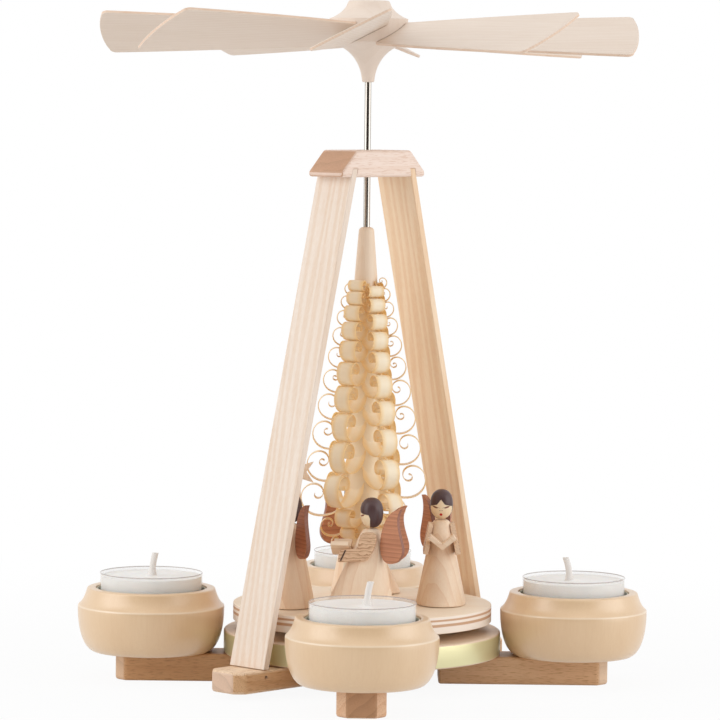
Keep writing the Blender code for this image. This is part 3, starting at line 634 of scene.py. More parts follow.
def plywood():
    """Birch plywood: a pale face, and on the edge two dark core lines between pale plies."""
    finish = Finish("birch_plywood")
    tone, fibres = wood_tone(finish, 0.0045, 0.35, 0.5)
    face = finish.blend(tone, (252, 235, 212), (242, 216, 186))
    plies = finish.noise((0.02, 0.02, 0.0012))
    height = finish.parts(finish.grain())[2] + (plies - 0.5) * 0.0003
    upper = (0.00054 - abs(height - 0.0018)).between(0.0, 0.0003)
    lower = (0.00066 - abs(height + 0.0001)).between(0.0, 0.0003)
    edge = finish.blend(upper.above(lower), (252, 238, 224), (208, 164, 130))
    return finish.done(finish.mix(finish.kept("upright").between(0.4, 0.6), face, edge), fibres * 0.2 + 0.42,
                       fibres, 0.00005, 0.5)


def stained_disc():
    """The base disc: beige on top, its rim lacquered a glossy yellow-green."""
    finish = Finish("stained_disc")
    tone, fibres = wood_tone(finish, 0.004, 0.4, 0.6)
    face = finish.blend(tone, (238, 214, 190), (218, 188, 158))
    lacquer = finish.blend(finish.noise((0.03, 0.03, 0.004)), (230, 224, 180), (218, 211, 164))
    rim = finish.kept("upright").between(0.4, 0.6)
    finish.feed("Metallic", rim * 0.55)
    return finish.done(finish.mix(rim, face, lacquer), fibres * 0.2 + 0.40 - rim * 0.14, fibres, 0.00005, 0.4)


def hair_line(beside, back, up, larger):
    """Above 0 in the hair and below 0 on the face, from a point's place on the head."""
    fringe = up - larger(0.37 - beside, 0.09 - beside * 0.2)
    temple = larger(up + 0.33, 0.0) * 0.6 + 0.14 + back
    return larger(fringe, temple)


def painted_head():
    """A doll's head: bare wood with painted hair, eyes, nose and mouth."""
    finish = Finish("painted_head")
    x, y, z = finish.parts(finish.grain())
    hair = hair_line(abs(x), y, z, lambda a, b: a.above(b)).between(-0.015, 0.02)
    grain = finish.noise((0.12, 0.12, 1.6))
    face = finish.blend(grain, (250, 228, 194), (240, 212, 172))
    front = (0 - y).between(0.0, 0.1)

    def spot(across, up, half_width, half_height, level=z):
        span = abs((x - across) / half_width) ** 2.0 + abs((level - up) / half_height) ** 2.0
        return (1 - span.between(0.65, 1.35)) * front

    for side in (-1, 1):
        lid = z + side * 0.22 * (side * 0.52 - x)
        face = finish.mix(spot(side * 0.53, -0.160, 0.23, 0.060, lid), face, srgb(138, 78, 56))
        face = finish.mix(spot(side * 0.46, -0.125, 0.38, 0.018, lid) * 0.75, face, srgb(100, 64, 48))
        face = finish.mix(spot(side * 0.095, -0.385, 0.05, 0.022), face, srgb(120, 84, 62))
    face = finish.mix(spot(0.0, -0.665, 0.135, 0.095), face, srgb(206, 30, 22))
    brown = finish.blend(finish.noise((0.09, 0.09, 1.2), 3.0), (70, 46, 46), (88, 62, 60))
    return finish.done(finish.mix(hair, face, brown), 0.5 - hair * 0.16 + grain * 0.1, grain, 0.00003, 0.3)


def metal(name, base, roughness, streak, metallic=1.0):
    """Drawn metal with fine streaks along it."""
    finish = Finish(name, Metallic=metallic)
    streaks = finish.noise(streak, 3.0)
    colour = finish.mix(streaks, srgb(*base), dimmed(srgb(*base), 0.8))
    return finish.done(colour, streaks * 0.2 + (roughness - 0.1))


def clear_film():
    """A thin clear cup, faintly uneven, with a painted grey shade along its rim for the light bent and
    reflected in the rolled edge.
    """
    finish = Finish("clear_cup", IOR=1.3)
    ripple = finish.noise((0.009, 0.009, 0.02))
    # Painted shade: the rim is greyed where the rolled edge bends and reflects the light.
    rim = finish.parts(finish.grain())[2].between(-0.0005, -0.0002)
    body = finish.blend(ripple, (250, 250, 249), (240, 241, 240))
    finish.feed("Alpha", ripple * 0.1 + 0.12 + rim * 0.4)
    return finish.done(finish.mix(rim, body, srgb(186, 176, 171)), ripple * 0.05 + 0.1)


def wax():
    finish = Finish("white_wax", Subsurface_Weight=0.25, Subsurface_Radius=(0.002, 0.0017, 0.0014),
                    Subsurface_Scale=1.0)
    clouds = finish.noise((0.006, 0.006, 0.006), 3.0)
    return finish.done(finish.blend(clouds, (252, 250, 247), (245, 242, 238)), clouds * 0.2 + 0.35,
                       clouds, 0.0001, 0.25)


def wick_thread():
    finish = Finish("wick_thread")
    place = finish.parts(finish.grain())
    plait = abs((place[0] * 900.0 + place[2] * 1400.0).fraction() - 0.5)
    return finish.done(finish.blend(plait * 2.0, (244, 240, 236), (226, 219, 212)), plait * 0.2 + 0.6,
                       plait, 0.0001, 0.5)


def ink():
    finish = Finish("dark_stain")
    blots = finish.noise((0.0006, 0.0006, 0.0006))
    return finish.done(finish.blend(blots, (58, 34, 26), (84, 54, 42)), blots * 0.2 + 0.5)


def shaving():
    """A shaving of lime: paler along its thick middle, and warm where light comes through its thin sides.

    The faint emission stands in for light that scatters inside the wood.
    """
    finish = Finish("shaved_lime", Coat_Weight=0.5, Coat_Roughness=0.4, Emission_Color=srgb(255, 182, 100),
                    Emission_Strength=0.045)
    tone, fibres = wood_tone(finish, 0.0030, 0.2, 0.6)
    thin = finish.kept("thin").between(0.35, 1.0)
    middle = finish.blend(tone, (255, 248, 226), (255, 240, 208))
    bare = Reading(finish, finish.shader.outputs[0])
    through = finish.node("ShaderNodeBsdfTranslucent", {}, {"Color": srgb(255, 230, 170)})
    finish.show(finish.node("ShaderNodeMixShader", {}, {0: thin * 0.22 + 0.16, 1: bare, 2: through}))
    colour = finish.mix(thin, middle, srgb(255, 238, 196))
    return finish.done(colour, fibres * 0.25 + 0.4, fibres, 0.00004, 0.4)


ASH = {"heart": (0.0, 0.200, 0.010), "waviness": 2.4, "taper": 0.006, "patch": (0.16, 0.006, 0.03),
       "soft": True}
FINISHES = {
    # Ends painted paler than the long grain, as painted light where a side lamp lights them.
    "beech": wood("flecked_beech", (218, 170, 122), (194, 142, 94), 0.0046, 0.35, 0.7,
                  end=(238, 204, 172), fleck=(164, 112, 70)),
    # The front arm's end painted dark as painted shade; its chamfers keep the paler side colour as painted
    # light.
    "front_beech_shaded_end": wood("striped_beech_shaded_end", (244, 206, 172), (226, 178, 138), 0.0040, 0.6, 0.5,
                        end=(194, 144, 103), end_from=(0.75, 0.95), fleck=(190, 138, 98),
                        heart=(0.0, -0.026, 0.030)),
    # Ends painted paler than the long grain, as painted light from the right lamp.
    "right_beech_lit_end": wood("pale_flecked_beech_lit_end", (232, 190, 148), (212, 166, 122), 0.0046, 0.3, 0.6,
                        end=(240, 212, 184), fleck=(176, 122, 76)),
    # The beam's top and ends are painted paler than its sides, as painted sheen and light from the lamps; the
    # rim colours are its sides.
    "beam_beech_lit_top": wood("beam_beech_lit_top", (252, 226, 196), (234, 198, 160), 0.0046, 0.4, 0.7, end=(230, 198, 174),
                       end_from=(0.75, 0.95), fleck=(176, 126, 86), rim=((228, 188, 144), (198, 148, 100))),
    # The bridge's square end lips are left pale as painted light.
    "pale_beech": wood("pale_beech", (250, 231, 219), (236, 208, 188), 0.0034, 0.4, 0.9, end=(206, 156, 118),
                       lit_square_from=(0.92, 0.98), fleck=(218, 180, 154)),
    # The right leg's ash is warmer than the left's: partly another piece of wood, partly painted warm light
    # bounced onto its shaded side.
    "left_ash": wood("pale_striped_ash", (241, 227, 214), (228, 202, 177), 0.0032, 0.42, 0.9, **ASH),
    "right_ash": wood("warm_striped_ash", (252, 228, 198), (238, 202, 164), 0.0036, 0.5, 0.9, **ASH),
    "maple": waxed_maple(),
    "gown": wood("gown_maple", (250, 228, 202), (232, 196, 162), 0.0040, 0.45, 0.7),
    "sleeve": wood("sleeve_maple", (238, 202, 166), (170, 120, 84), 0.0010, 0.75, 0.6, waviness=2.2,
                   patch=(0.0034, 0.0020, 0.0020), rim=((242, 214, 184), (226, 192, 160))),
    "hub": wood("turned_lime", (240, 224, 210), (228, 208, 190), 0.0040, 0.2, 0.4),
    "lime": wood("raw_lime", (240, 225, 211), (224, 203, 184), 0.0013, 0.35, 0.7, waviness=0.8,
                 heart=(0.0, 0.080, 0.010), taper=0.004, patch=(0.2, 0.012, 0.012),
                 rim=((236, 210, 188), (222, 186, 158))),
    "post": wood("tree_lime", (244, 223, 200), (231, 203, 174), 0.0030, 0.3, 0.7),
    "shaving": shaving(),
    "walnut": wood("reddish_hardwood", (206, 142, 106), (158, 98, 68), 0.0011, 0.5, 1.0, end=(150, 102, 88)),
    "plywood": plywood(),
    "disc": stained_disc(),
    "head": painted_head(),
    "steel": metal("drawn_steel", (190, 184, 176), 0.18, (0.0002, 0.0002, 0.03)),
    "tin": metal("liner_tin", (214, 210, 190), 0.45, (0.004, 0.004, 0.0004), 0.4),
    "brass": metal("turned_brass", (206, 172, 110), 0.3, (0.002, 0.002, 0.0003)),
    "clear": clear_film(),
    "wax": wax(),
    "wick": wick_thread(),
    "ink": ink(),
}


# Standing frame
def beam_outline(inner, outer, half, both_ends):
    """A bar along X with the corners of one or both ends cut off."""
    cut = END_CHAMFER
    near = [(outer - cut, -half), (outer, cut - half), (outer, half - cut), (outer - cut, half)]
    if both_ends:
        return near + [(inner + cut, half), (inner, half - cut), (inner, cut - half), (inner + cut, -half)]
    return near + [(inner, half), (inner, -half)]


def make_arms():
    low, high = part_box("candle_arm_right")
    model = sawn("candle_arm", beam_outline(low.x, high.x, high.y, False), high.z - low.z, EASED)
    for side, direction in SIDES.items():
        name = f"candle_arm_{side}"
        place_piece(copy_of(model, name + "_wood"), "xyz", random_offset(),
                    turn_z(direction) @ raised(low, high), "frame", "beech", ARM_FINISHES[side], name)
    bpy.data.objects.remove(model)


def make_beam():
    place = turn_z(FRAME_ANGLE)
    low, high = extent(points_of("foot_beam", place))
    beam = sawn("foot_beam_wood", beam_outline(low.x, high.x, high.y, True), high.z - low.z, EASED)
    leg_low, leg_high = extent(level(points_of("leg_left", place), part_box("leg_left")[0].z))
    under_leg = (leg_low.x + leg_high.x) / 2
    for end in (1, -1):
        pin_place = shift(end * under_leg, end * high.y, PIN_HEIGHT) @ STANDING
        carve(beam, cylinder("pin_drill", PIN_RADIUS, PIN_DRILL, pin_place))
    # Marks the sides, which are painted darker than the top as painted shade.
    mark_upright(beam)
    place_piece(beam, "xyz", random_offset(), place @ raised(low, high), "frame", "beech", "beam_beech_lit_top",
                "foot_beam")


def make_disc_and_bearing():
    low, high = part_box("base_disc")
    cup_low, cup_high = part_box("bearing_cup")
    radius, rim = high.x, cup_high.x
    pocket, floor = rim + SEAT_PLAY, cup_low.z - SEAT_PLAY
    disc = turned("base_disc_wood", [(0, low.z)]
                  + eased((radius, low.z), (0, low.z), (radius, high.z), DISC_EASE)
                  + eased((radius, high.z), (radius, low.z), (0, high.z), DISC_EASE)
                  + [(pocket, high.z), (pocket, floor), (0, floor)])
    mark_upright(disc)
    lay_grain(disc, "xyz", random_offset())
    hand_over(disc, "frame", "lime", "disc", "base_disc")

    cup = turned("bearing_cup_steel", [(0, cup_low.z), (rim, cup_low.z)]
                 + eased((rim, cup_high.z), (rim, cup_low.z), (0, cup_high.z), EASED_RIM)
                 + [(DIMPLE_SHARE * rim, cup_high.z), (0, cup_high.z - DIMPLE_DEPTH)], SMALL_FACETS)
    lay_grain(cup)
    hand_over(cup, "frame", "steel", "steel", "bearing_cup")


def leg_outline(slack):
    """Side view of a leg, (distance from the axis, height), measured from the frame."""
    points = points_of("leg_left", turn_z(FRAME_ANGLE))
    low, high = extent(points)
    foot = [point.x for point in level(points, low.z)]
    top = [point.x for point in level(points, high.z)]
    return [(min(foot) - slack, low.z), (max(foot) + slack, low.z), (max(top) + slack, high.z + slack),
            (min(top) - slack, high.z + slack)]


def make_legs():
    low, high = extent(points_of("leg_left", turn_z(FRAME_ANGLE)))
    for side, turn in (("left", FRAME_ANGLE), ("right", FRAME_ANGLE + 180)):
        leg = sawn(f"leg_{side}_wood", leg_outline(0), high.y - low.y, EASED_THIN)
        place_piece(leg, "yzx", random_offset(), turn_z(turn) @ STANDING, "frame", "ash", f"{side}_ash",
                    f"leg_{side}")


def make_bridge():
    place = turn_z(FRAME_ANGLE)
    low, high = extent(points_of("bridge", place))
    half, half_top, lip = high.x, BRIDGE_TOP_LENGTH / 2, low.z + BRIDGE_LIP
    bridge = sawn("bridge_wood", [(-half, low.z), (half, low.z), (half, lip), (half_top, high.z),
                                  (-half_top, high.z), (-half, lip)], high.y - low.y, EASED)
    lying = STANDING.inverted()
    for turn in (0, 180):
        slot = sawn("leg_slot", leg_outline(HOUSING_GAP), 2 * (high.y - low.y), 0)
        carve(bridge, settle(slot, lying @ turn_z(turn) @ STANDING))
    bush_low, bush_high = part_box("bridge_bush")
    radius = bush_high.x
    carve(bridge, cylinder("bush_drill", radius + BUSH_PLAY, BUSH_DRILL, lying @ shift(0, 0, low.z)))
    place_piece(bridge, "xyz", random_offset(), place @ STANDING, "frame", "beech", "pale_beech", "bridge")

    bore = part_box("shaft")[1].x + SEAT_PLAY
    bush = turned("bridge_bush_brass", [(bore, bush_low.z), (radius, bush_low.z)]
                  + eased((radius, bush_high.z), (radius, bush_low.z), (bore, bush_high.z), EASED_RIM)
                  + [(bore, bush_high.z), (bore, bush_low.z)], SMALL_FACETS)
    lay_grain(bush)
    hand_over(bush, "frame", "brass", "brass", "bridge_bush")


# Candle bowls and tealights
def bowl_profile(height, bore):
    """Foot, swelling belly, crisp shoulder and a hollow neck up to a rounded rim, then down into the bore."""
    belly, foot, rim, top = BOWL_BELLY_HEIGHT, BOWL_FOOT_RADIUS, BOWL_RIM_RADIUS, height
    widest = BOWL_BELLY_RADIUS
    spread, step, neck = widest - foot, widest - rim, height - belly
    swell = bow((foot, 0), (foot + 0.62 * spread, 0.10 * belly), (widest, 0.45 * belly),
                (widest, belly - 0.0006), 18)
    shoulder = eased((widest, belly), (widest, 0), (rim + 0.45 * step, belly + 0.3 * neck), 0.0003, 2)
    hollow = bow((widest - 0.0004, belly + 0.0003), (rim + 0.45 * step, belly + 0.25 * neck),
                 (rim + 0.25 * step, belly + 0.5 * neck), (rim + 0.0002, top - 0.0012), 14)
    lip = bow((rim + 0.0002, top - 0.0012), (rim, top - 0.0002), (rim - 0.0002, top), (rim - 0.0012, top), 5)
    inner = eased((bore, top), (rim, top), (bore, 0), EASED_RIM)
    return [(0, 0)] + swell + shoulder + hollow[1:] + lip + inner + [(bore, BOWL_FLOOR), (0, BOWL_FLOOR)]


def bent_wick(name, lean):
    """A wick that is pulled up out of the wax in short steps, each leaning a little further."""
    wick = begin(name, bpy.ops.mesh.primitive_circle_add, vertices=FINE_FACETS,
                 radius=WICK_RADIUS * WICK_FOOT, fill_type="NGON")
    bpy.ops.object.mode_set(mode="EDIT")
    for step in range(WICK_STEPS):
        share = (step + 0.5) / WICK_STEPS
        pull((lean * 2 * share / WICK_STEPS, 0, WICK_LENGTH / WICK_STEPS))
        if step < 2:
            bpy.ops.transform.resize(value=(WICK_NECKING, WICK_NECKING, 1.0))
    bpy.ops.mesh.inset(thickness=WICK_EASE)
    bpy.ops.transform.translate(value=(0, 0, -WICK_EASE))
    return close_up(wick)


def make_candles():
    low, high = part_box("candle_bowl_right")
    liner_low, liner_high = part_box("bowl_liner_right")
    cup_low, cup_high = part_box("tealight_cup_right")
    liner_radius, liner_height = (liner_high.x - liner_low.x) / 2, liner_high.z - liner_low.z
    cup_radius, cup_height = (cup_high.x - cup_low.x) / 2, cup_high.z - cup_low.z
    bowl = turned("candle_bowl", bowl_profile(high.z - low.z, liner_radius + LINER_PLAY))

    wall = liner_radius - LINER_WALL
    liner = turned("bowl_liner", [(0, 0), (liner_radius, 0), (liner_radius, liner_height),
                                  (wall, liner_height), (wall, LINER_WALL), (0, LINER_WALL)])

    inside, lip = cup_radius - CUP_WALL, CUP_WALL / 2
    cup = turned("tealight_cup", [(0, 0)]
                 + eased((cup_radius, 0), (0, 0), (cup_radius, cup_height), 0.0012)
                 + arc((cup_radius - lip, cup_height - lip), lip, 0, 180, 10)
                 + eased((inside, CUP_FLOOR), (inside, cup_height), (0, CUP_FLOOR), 0.0010)
                 + [(0, CUP_FLOOR)])

    edge = inside - WAX_PLAY
    bottom, surface = CUP_FLOOR + WAX_PLAY, cup_height - WAX_DROP
    hill = surface + WAX_HILL
    wax_disc = turned("wax_disc", [(0, bottom)]
                      + eased((edge, bottom), (0, bottom), (edge, surface), 0.0010)
                      + [(edge, surface + 0.0002), (edge - 0.0006, surface + 0.00005)]
                      + [(edge - 0.002, surface)]
                      + bow((0.006, surface), (0.004, surface), (0.0028, surface + 0.0002), (0.0, hill), 8)
                      + [(0, hill)])

    for side in SIDES:
        bowl_low, bowl_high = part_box(f"candle_bowl_{side}")
        centre = (bowl_low + bowl_high) / 2
        place = shift(centre.x, centre.y, cup_low.z)
        body = f"tealight_{side}"
        place_piece(copy_of(bowl, f"candle_bowl_{side}_wood"), "zxy", random_offset(),
                    shift(centre.x, centre.y, bowl_low.z) @ turn_z(chance.uniform(0, 360)),
                    "frame", "maple", "maple", f"candle_bowl_{side}")
        place_piece(copy_of(liner, f"bowl_liner_{side}_tin"), "xyz", NO_OFFSET,
                    shift(centre.x, centre.y, liner_low.z), "frame", "steel", "tin", f"bowl_liner_{side}")
        place_piece(copy_of(cup, f"tealight_cup_{side}_clear"), "xyz", (0, 0, -cup_height), place,
                    body, "glass", "clear", f"tealight_cup_{side}")
        place_piece(copy_of(wax_disc, f"tealight_candle_{side}_wax"), "xyz", random_offset(), place,
                    body, "wax", "wax", f"tealight_candle_{side}")
        place_piece(bent_wick(f"tealight_wick_{side}", WICK_LEANS[side]), "xyz", random_offset(),
                    place @ shift(WICK_PLACES[side], 0, surface), body, "wax", "wick")
    for model in (bowl, liner, cup, wax_disc):
        bpy.data.objects.remove(model)


# Rotor
def make_shaft_and_turntable():
    low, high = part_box("shaft")
    radius = high.x
    shaft = turned("shaft_steel", [(0, low.z), (radius * 0.25, low.z + 0.0002), (radius, low.z + SHAFT_POINT)]
                   + eased((radius, high.z), (radius, low.z), (0, high.z), EASED_THIN) + [(0, high.z)],
                   SMALL_FACETS)
    lay_grain(shaft)
    hand_over(shaft, "rotor", "steel", "steel", "shaft")

    low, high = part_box("turntable")
    half = (high.z - low.z) / 2
    rim, bore = high.x, radius + SHAFT_PLAY
    table = turned("turntable_plywood", [(bore, -half)]
                   + eased((rim, -half), (bore, -half), (rim, half), EASED_THIN)
                   + eased((rim, half), (rim, -half), (bore, half), EASED_THIN)
                   + [(bore, half), (bore, -half)])
    mark_upright(table)
    place_piece(table, "xyz", NO_OFFSET, raised(low, high), "rotor", "plywood", "plywood", "turntable")


def curl_rows():
    """Lower edge and height of each row of curls, from the top row down, above the lowest curl."""
    pitches = [CURL_FIRST_PITCH + CURL_PITCH_STEP * row for row in range(CURL_ROWS)] + list(CURL_FOOT_PITCHES)
    bottom = sum(pitches)
    rows = []
    for pitch in pitches:
        bottom -= pitch
        rows.append((bottom, pitch))
    return rows


def roll_radius(heading):
    """Radius of a shaving of height 1 while it heads some way, tighter as it rolls up."""
    knots = [(-90, 0.80), (-10, 0.66), (45, 0.53), (90, 0.47), (180, 0.34), (270, 0.22), (360, 0.14),
             (450, 0.095), (600, 0.07)]
    for (h0, r0), (h1, r1) in zip(knots, knots[1:]):
        if h0 <= heading <= h1:
            return r0 + (r1 - r0) * (heading - h0) / (h1 - h0)
    return knots[-1][1]


def curl_points(pitch, reach, tightness, last_heading):
    """The line of a shaving: down and away from the post, up round the outside, then rolled inwards."""
    step, heading, bend = 10.0, -80.0, 20.0
    moves = []
    while heading < last_heading:
        radius = roll_radius(heading) * (1 - tightness * max(0.0, heading - 60) / 400)
        length, angle = radius * pitch * math.radians(step), math.radians(heading)
        moves.append((heading, length * math.cos(angle), length * math.sin(angle)))
        heading += step
    tail = sum(out for heading, out, up in moves if heading < bend)
    roll = sum(out for heading, out, up in moves if bend <= heading < 90)
    stretch = (1.045 * reach * pitch - roll) / tail
    points = [Vector((-0.0004, 0, 0.0004))]
    for heading, out, up in moves:
        points.append(points[-1] + Vector((out * (stretch if heading < bend else 1.0), 0, up)))
    return points


def make_curl(pitch, reach):
    """One shaving, thick at its root and along its middle, its grain laid along it."""
    points = curl_points(pitch, reach, chance.uniform(*CURL_TIGHTNESS), chance.uniform(*CURL_LAST_HEADING))
    curl = draw_line("shaving", points)
    for strip in range(CURL_STRIPS):
        pull((0, CURL_WIDTH / CURL_STRIPS, 0))
    bpy.ops.mesh.select_all(action="SELECT")
    bpy.ops.transform.translate(value=(0, -CURL_WIDTH / 2, 0))
    for reached, widening in ((3, 1.10), (5, 1.08), (7, 1.06)):
        pick_points(curl, [k % len(points) < reached for k in range(len(curl.data.vertices))])
        bpy.ops.transform.resize(value=(1.0, widening, 1.0), center_override=(0, 0, 0))
    bpy.ops.object.mode_set(mode="OBJECT")
    along = [0.0]
    for start, end in zip(points, points[1:]):
        along.append(along[-1] + (end - start).length)
    offset = random_offset()
    places = [(along[k % len(along)], vertex.co.y) for k, vertex in enumerate(curl.data.vertices)]
    besides = [abs(across) / (CURL_WIDTH / 2) for run, across in places]
    group = curl.vertex_groups.new(name="thickness")
    for k, ((run, across), beside) in enumerate(zip(places, besides)):
        group.add([k], (1 - 0.6 * run / along[-1]) * (1 - 0.55 * beside ** 2), "REPLACE")
    keep_grain(curl, [(run + offset[0], across + offset[1], offset[2]) for run, across in places])
    keep(curl, "thin", "POINT", besides)
    apply_modifier(curl, "SOLIDIFY", thickness=CURL_THICKNESS, offset=0, vertex_group=group.name)
    bpy.ops.object.shade_smooth_by_angle(angle=CURL_SMOOTH_ANGLE)
    curl.data.materials.append(FINISHES["shaving"])
    return curl


def post_radius(height, low, top):
    """Radius of the post where it tapers up to the top of the curls."""
    return POST_FOOT_RADIUS + (POST_CURL_RADIUS - POST_FOOT_RADIUS) * ((height - low) / (top - low))


def make_post(low, seam, top, tip, bore):
    """The post: shaved bare up to a seam behind the topmost curls, and turned from there to its tip."""
    post = turned("curl_tree_wood", [(bore, low)]
                  + eased((POST_FOOT_RADIUS, low), (bore, low), (POST_CURL_RADIUS, top), EASED_RIM)
                  + [(post_radius(seam, low, top), seam), (POST_CURL_RADIUS, top)]
                  + eased((POST_TIP_RADIUS, tip), (POST_CURL_RADIUS, top), (bore, tip), POST_DOME, 6)
                  + [(bore, tip), (bore, low)], SMALL_FACETS)
    lay_grain(post, "zxy", random_offset())
    for finish in ("post", "shaving"):
        post.data.materials.append(FINISHES[finish])
    for face in post.data.polygons:
        face.material_index = int(face.center.z < seam)
    return post


def make_tree():
    low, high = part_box("curl_tree")
    curl_bottom = low.z + CURL_FOOT_HEIGHT
    rows = curl_rows()
    top = curl_bottom + rows[0][0] + POST_TOP * rows[0][1]
    seam = top - POST_SEAM * rows[0][1]
    root_share = math.cos(math.radians(CURL_ROOT_ANGLE))
    post = make_post(low.z, seam, top, high.z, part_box("shaft")[1].x + SHAFT_PLAY)
    shavings = []
    for column, column_shift in enumerate(CURL_COLUMN_SHIFTS):
        azimuth = 360.0 * column / len(CURL_COLUMN_SHIFTS) + CURL_FIRST_COLUMN
        for row, (bottom, pitch) in enumerate(rows):
            step = CURL_FIRST_PITCH + CURL_PITCH_STEP * min(row, CURL_ROWS - 1)
            height = curl_bottom + bottom - column_shift * step + CURL_ROOT_HEIGHT * pitch
            curl = make_curl(pitch, CURL_REACH + CURL_REACH_STEP * row)
            lean = turn_z(azimuth + chance.uniform(-CURL_LEAN, CURL_LEAN))
            settle(curl, lean @ shift(post_radius(height, low.z, top) * root_share, 0, height))
            shavings.append(curl)
    select_only(*shavings, post)
    bpy.ops.object.join()
    hand_over(post, "rotor", "lime", None, "curl_tree")


# Angels: each looks along -Y of its own placement, and the turntable's middle is towards -X
def gown_section(height):
    """Half width, half depth and middle of the gown at a height."""
    share = height / GOWN_HEIGHT
    half_width = GOWN_HALF_WIDTH + (NECK_RADIUS - GOWN_HALF_WIDTH) * share
    half_depth = GOWN_HALF_DEPTH + (NECK_RADIUS - GOWN_HALF_DEPTH) * share
    return half_width, half_depth, NECK_BACK * share


def make_gown(name):
    """A flattened cone that leans back to the neck and is rounded off there."""
    gown = begin(name, bpy.ops.mesh.primitive_circle_add, vertices=ROUND_FACETS, radius=1.0, fill_type="NGON")
    bpy.ops.object.mode_set(mode="EDIT")
    levels = [(0.0, 0.985), (0.0003, 1.0), (0.3 * GOWN_HEIGHT, 1.0), (0.6 * GOWN_HEIGHT, 1.0)]
    levels += [(GOWN_HEIGHT - NECK_ROUNDING * (1 - math.sin(a)), 0.5 + 0.5 * math.cos(a))
               for a in (math.radians(angle) for angle in (0, 20, 40, 60, 75, 88))]
    last = (1.0, 1.0, 0.0, 0.0)
    for k, (height, shrink) in enumerate(levels):
        half_width, half_depth, middle = gown_section(height)
        half_width, half_depth = half_width * shrink, half_depth * shrink
        if k:
            pull((0, middle - last[2], height - last[3]))
        bpy.ops.transform.resize(value=(half_width / last[0], half_depth / last[1], 1.0))
        last = (half_width, half_depth, middle, height)
    return close_up(gown)


def sleeve_outline():
    """A bent arm: a broad upper arm, and a forearm that widens and drops to the hand; x is ahead, y is up."""
    back, front = -SLEEVE_BACK, SLEEVE_WIDTH - SLEEVE_BACK
    crook, tip = ELBOW_HEIGHT + FOREARM_WIDTH, (0.0012, ELBOW_HEIGHT)
    hand_low, hand_reach = (FOREARM_REACH, ELBOW_HEIGHT - 0.0008), FOREARM_REACH - 0.0004
    elbow = bow((back, SHOULDER_HEIGHT - 0.0030), (back + 0.0003, ELBOW_HEIGHT + 0.0056),
                (back + 0.0016, ELBOW_HEIGHT + 0.0018), tip, 10)
    hand = eased(hand_low, tip, (hand_reach, crook - 0.001), 0.0006)
    hand += eased((hand_reach, crook - 0.0008), hand_low, (front, crook), 0.0010)
    bend = bow((front + 0.0016, crook), (front + 0.0008, crook), (front + 0.0004, crook + 0.0004),
               (front + 0.0002, crook + 0.0016), 5)
    shoulder = eased((front - 0.0004, SHOULDER_HEIGHT), (front, crook), (back, SHOULDER_HEIGHT), 0.0022)
    nape = eased((back, SHOULDER_HEIGHT), (front, SHOULDER_HEIGHT), (back, crook), 0.0018)
    return elbow + [tip] + hand + bend + shoulder + nape


def cuff_outline():
    """The stain line that parts hand from sleeve."""
    high, low = (0.0090, ELBOW_HEIGHT + FOREARM_WIDTH - 0.0007), (0.0107, ELBOW_HEIGHT - 0.0003)
    return [(low[0] - CUFF_WIDTH, low[1]), low, high, (high[0] - CUFF_WIDTH, high[1])]


def sleeve_place(side):
    """Hangs a sleeve on the side of the gown, sloping with it."""
    slope = math.atan2(GOWN_HALF_WIDTH - NECK_RADIUS, GOWN_HEIGHT)
    to_profile = Matrix(((0, 0, 1, 0), (-1, 0, 0, 0), (0, 1, 0, 0), (0, 0, 0, 1)))
    hang = shift(side * gown_section(SHOULDER_HEIGHT)[0], NECK_BACK, SHOULDER_HEIGHT)
    inset = shift(side * (SLEEVE_THICKNESS / 2 - SLEEVE_SINK), 0, -SHOULDER_HEIGHT)
    return hang @ Matrix.Rotation(-side * slope, 4, "Y") @ inset @ to_profile


def wing_outline():
    """An S-shaped wing, tip up and back: x is away from the body, y is up from the wing's foot."""
    w, h = WING_WIDTH, WING_HEIGHT
    foot, tip = (0.42 * w, 0), (0.92 * w, h)
    outer = bow(foot, (0.86 * w, 0), (1.10 * w, 0.17 * h), (0.97 * w, 0.36 * h), 12)
    hollow = bow((0.97 * w, 0.36 * h), (0.84 * w, 0.58 * h), (0.62 * w, 0.80 * h), tip, 12)
    inner = bow(tip, (0.40 * w, 0.98 * h), (0.05 * w, 0.72 * h), (0, 0.36 * h), 14)
    heel = bow((0, 0.36 * h), (-0.02 * w, 0.14 * h), (0.14 * w, 0), foot, 10)
    return outer + hollow + inner + heel


def wing_place(node, side, degrees, angel):
    """A wing stands where its CAD node does, measured along its own axes."""
    splay = math.radians(degrees)
    axes = angel @ Matrix((
        (side * math.sin(splay), 0, math.cos(splay), 0),
        (math.cos(splay), 0, -side * math.sin(splay), 0),
        (0, 1, 0, 0),
        (0, 0, 0, 1)))
    low, high = extent(points_of(node, axes))
    out_low = min(x for x, y in wing_outline())
    return axes @ shift(low.x - out_low, low.y, (low.z + high.z) / 2)


def make_head(name):
    """An egg-shaped head on which the hair stands proud of the face; it looks along -Y."""
    half, power, steps = HEAD_HEIGHT / 2, 2.3, 44
    profile = []
    for step in range(steps + 1):
        up = -math.cos(math.pi * step / steps)
        profile.append((HEAD_RADIUS * max(0.0, 1 - abs(up) ** power) ** (1 / power), half * up))
    head = turned(name, profile, HEAD_FACETS)
    places = [(vertex.co.x / HEAD_RADIUS, vertex.co.y / HEAD_RADIUS, vertex.co.z / half)
              for vertex in head.data.vertices]
    pick_points(head, [hair_line(abs(x), y, z, max) > 0.02 and z > -0.96 for x, y, z in places])
    bpy.ops.transform.shrink_fatten(value=HAIR_THICKNESS)
    bpy.ops.object.mode_set(mode="OBJECT")
    bpy.ops.object.shade_smooth()
    keep_grain(head, places)
    return head


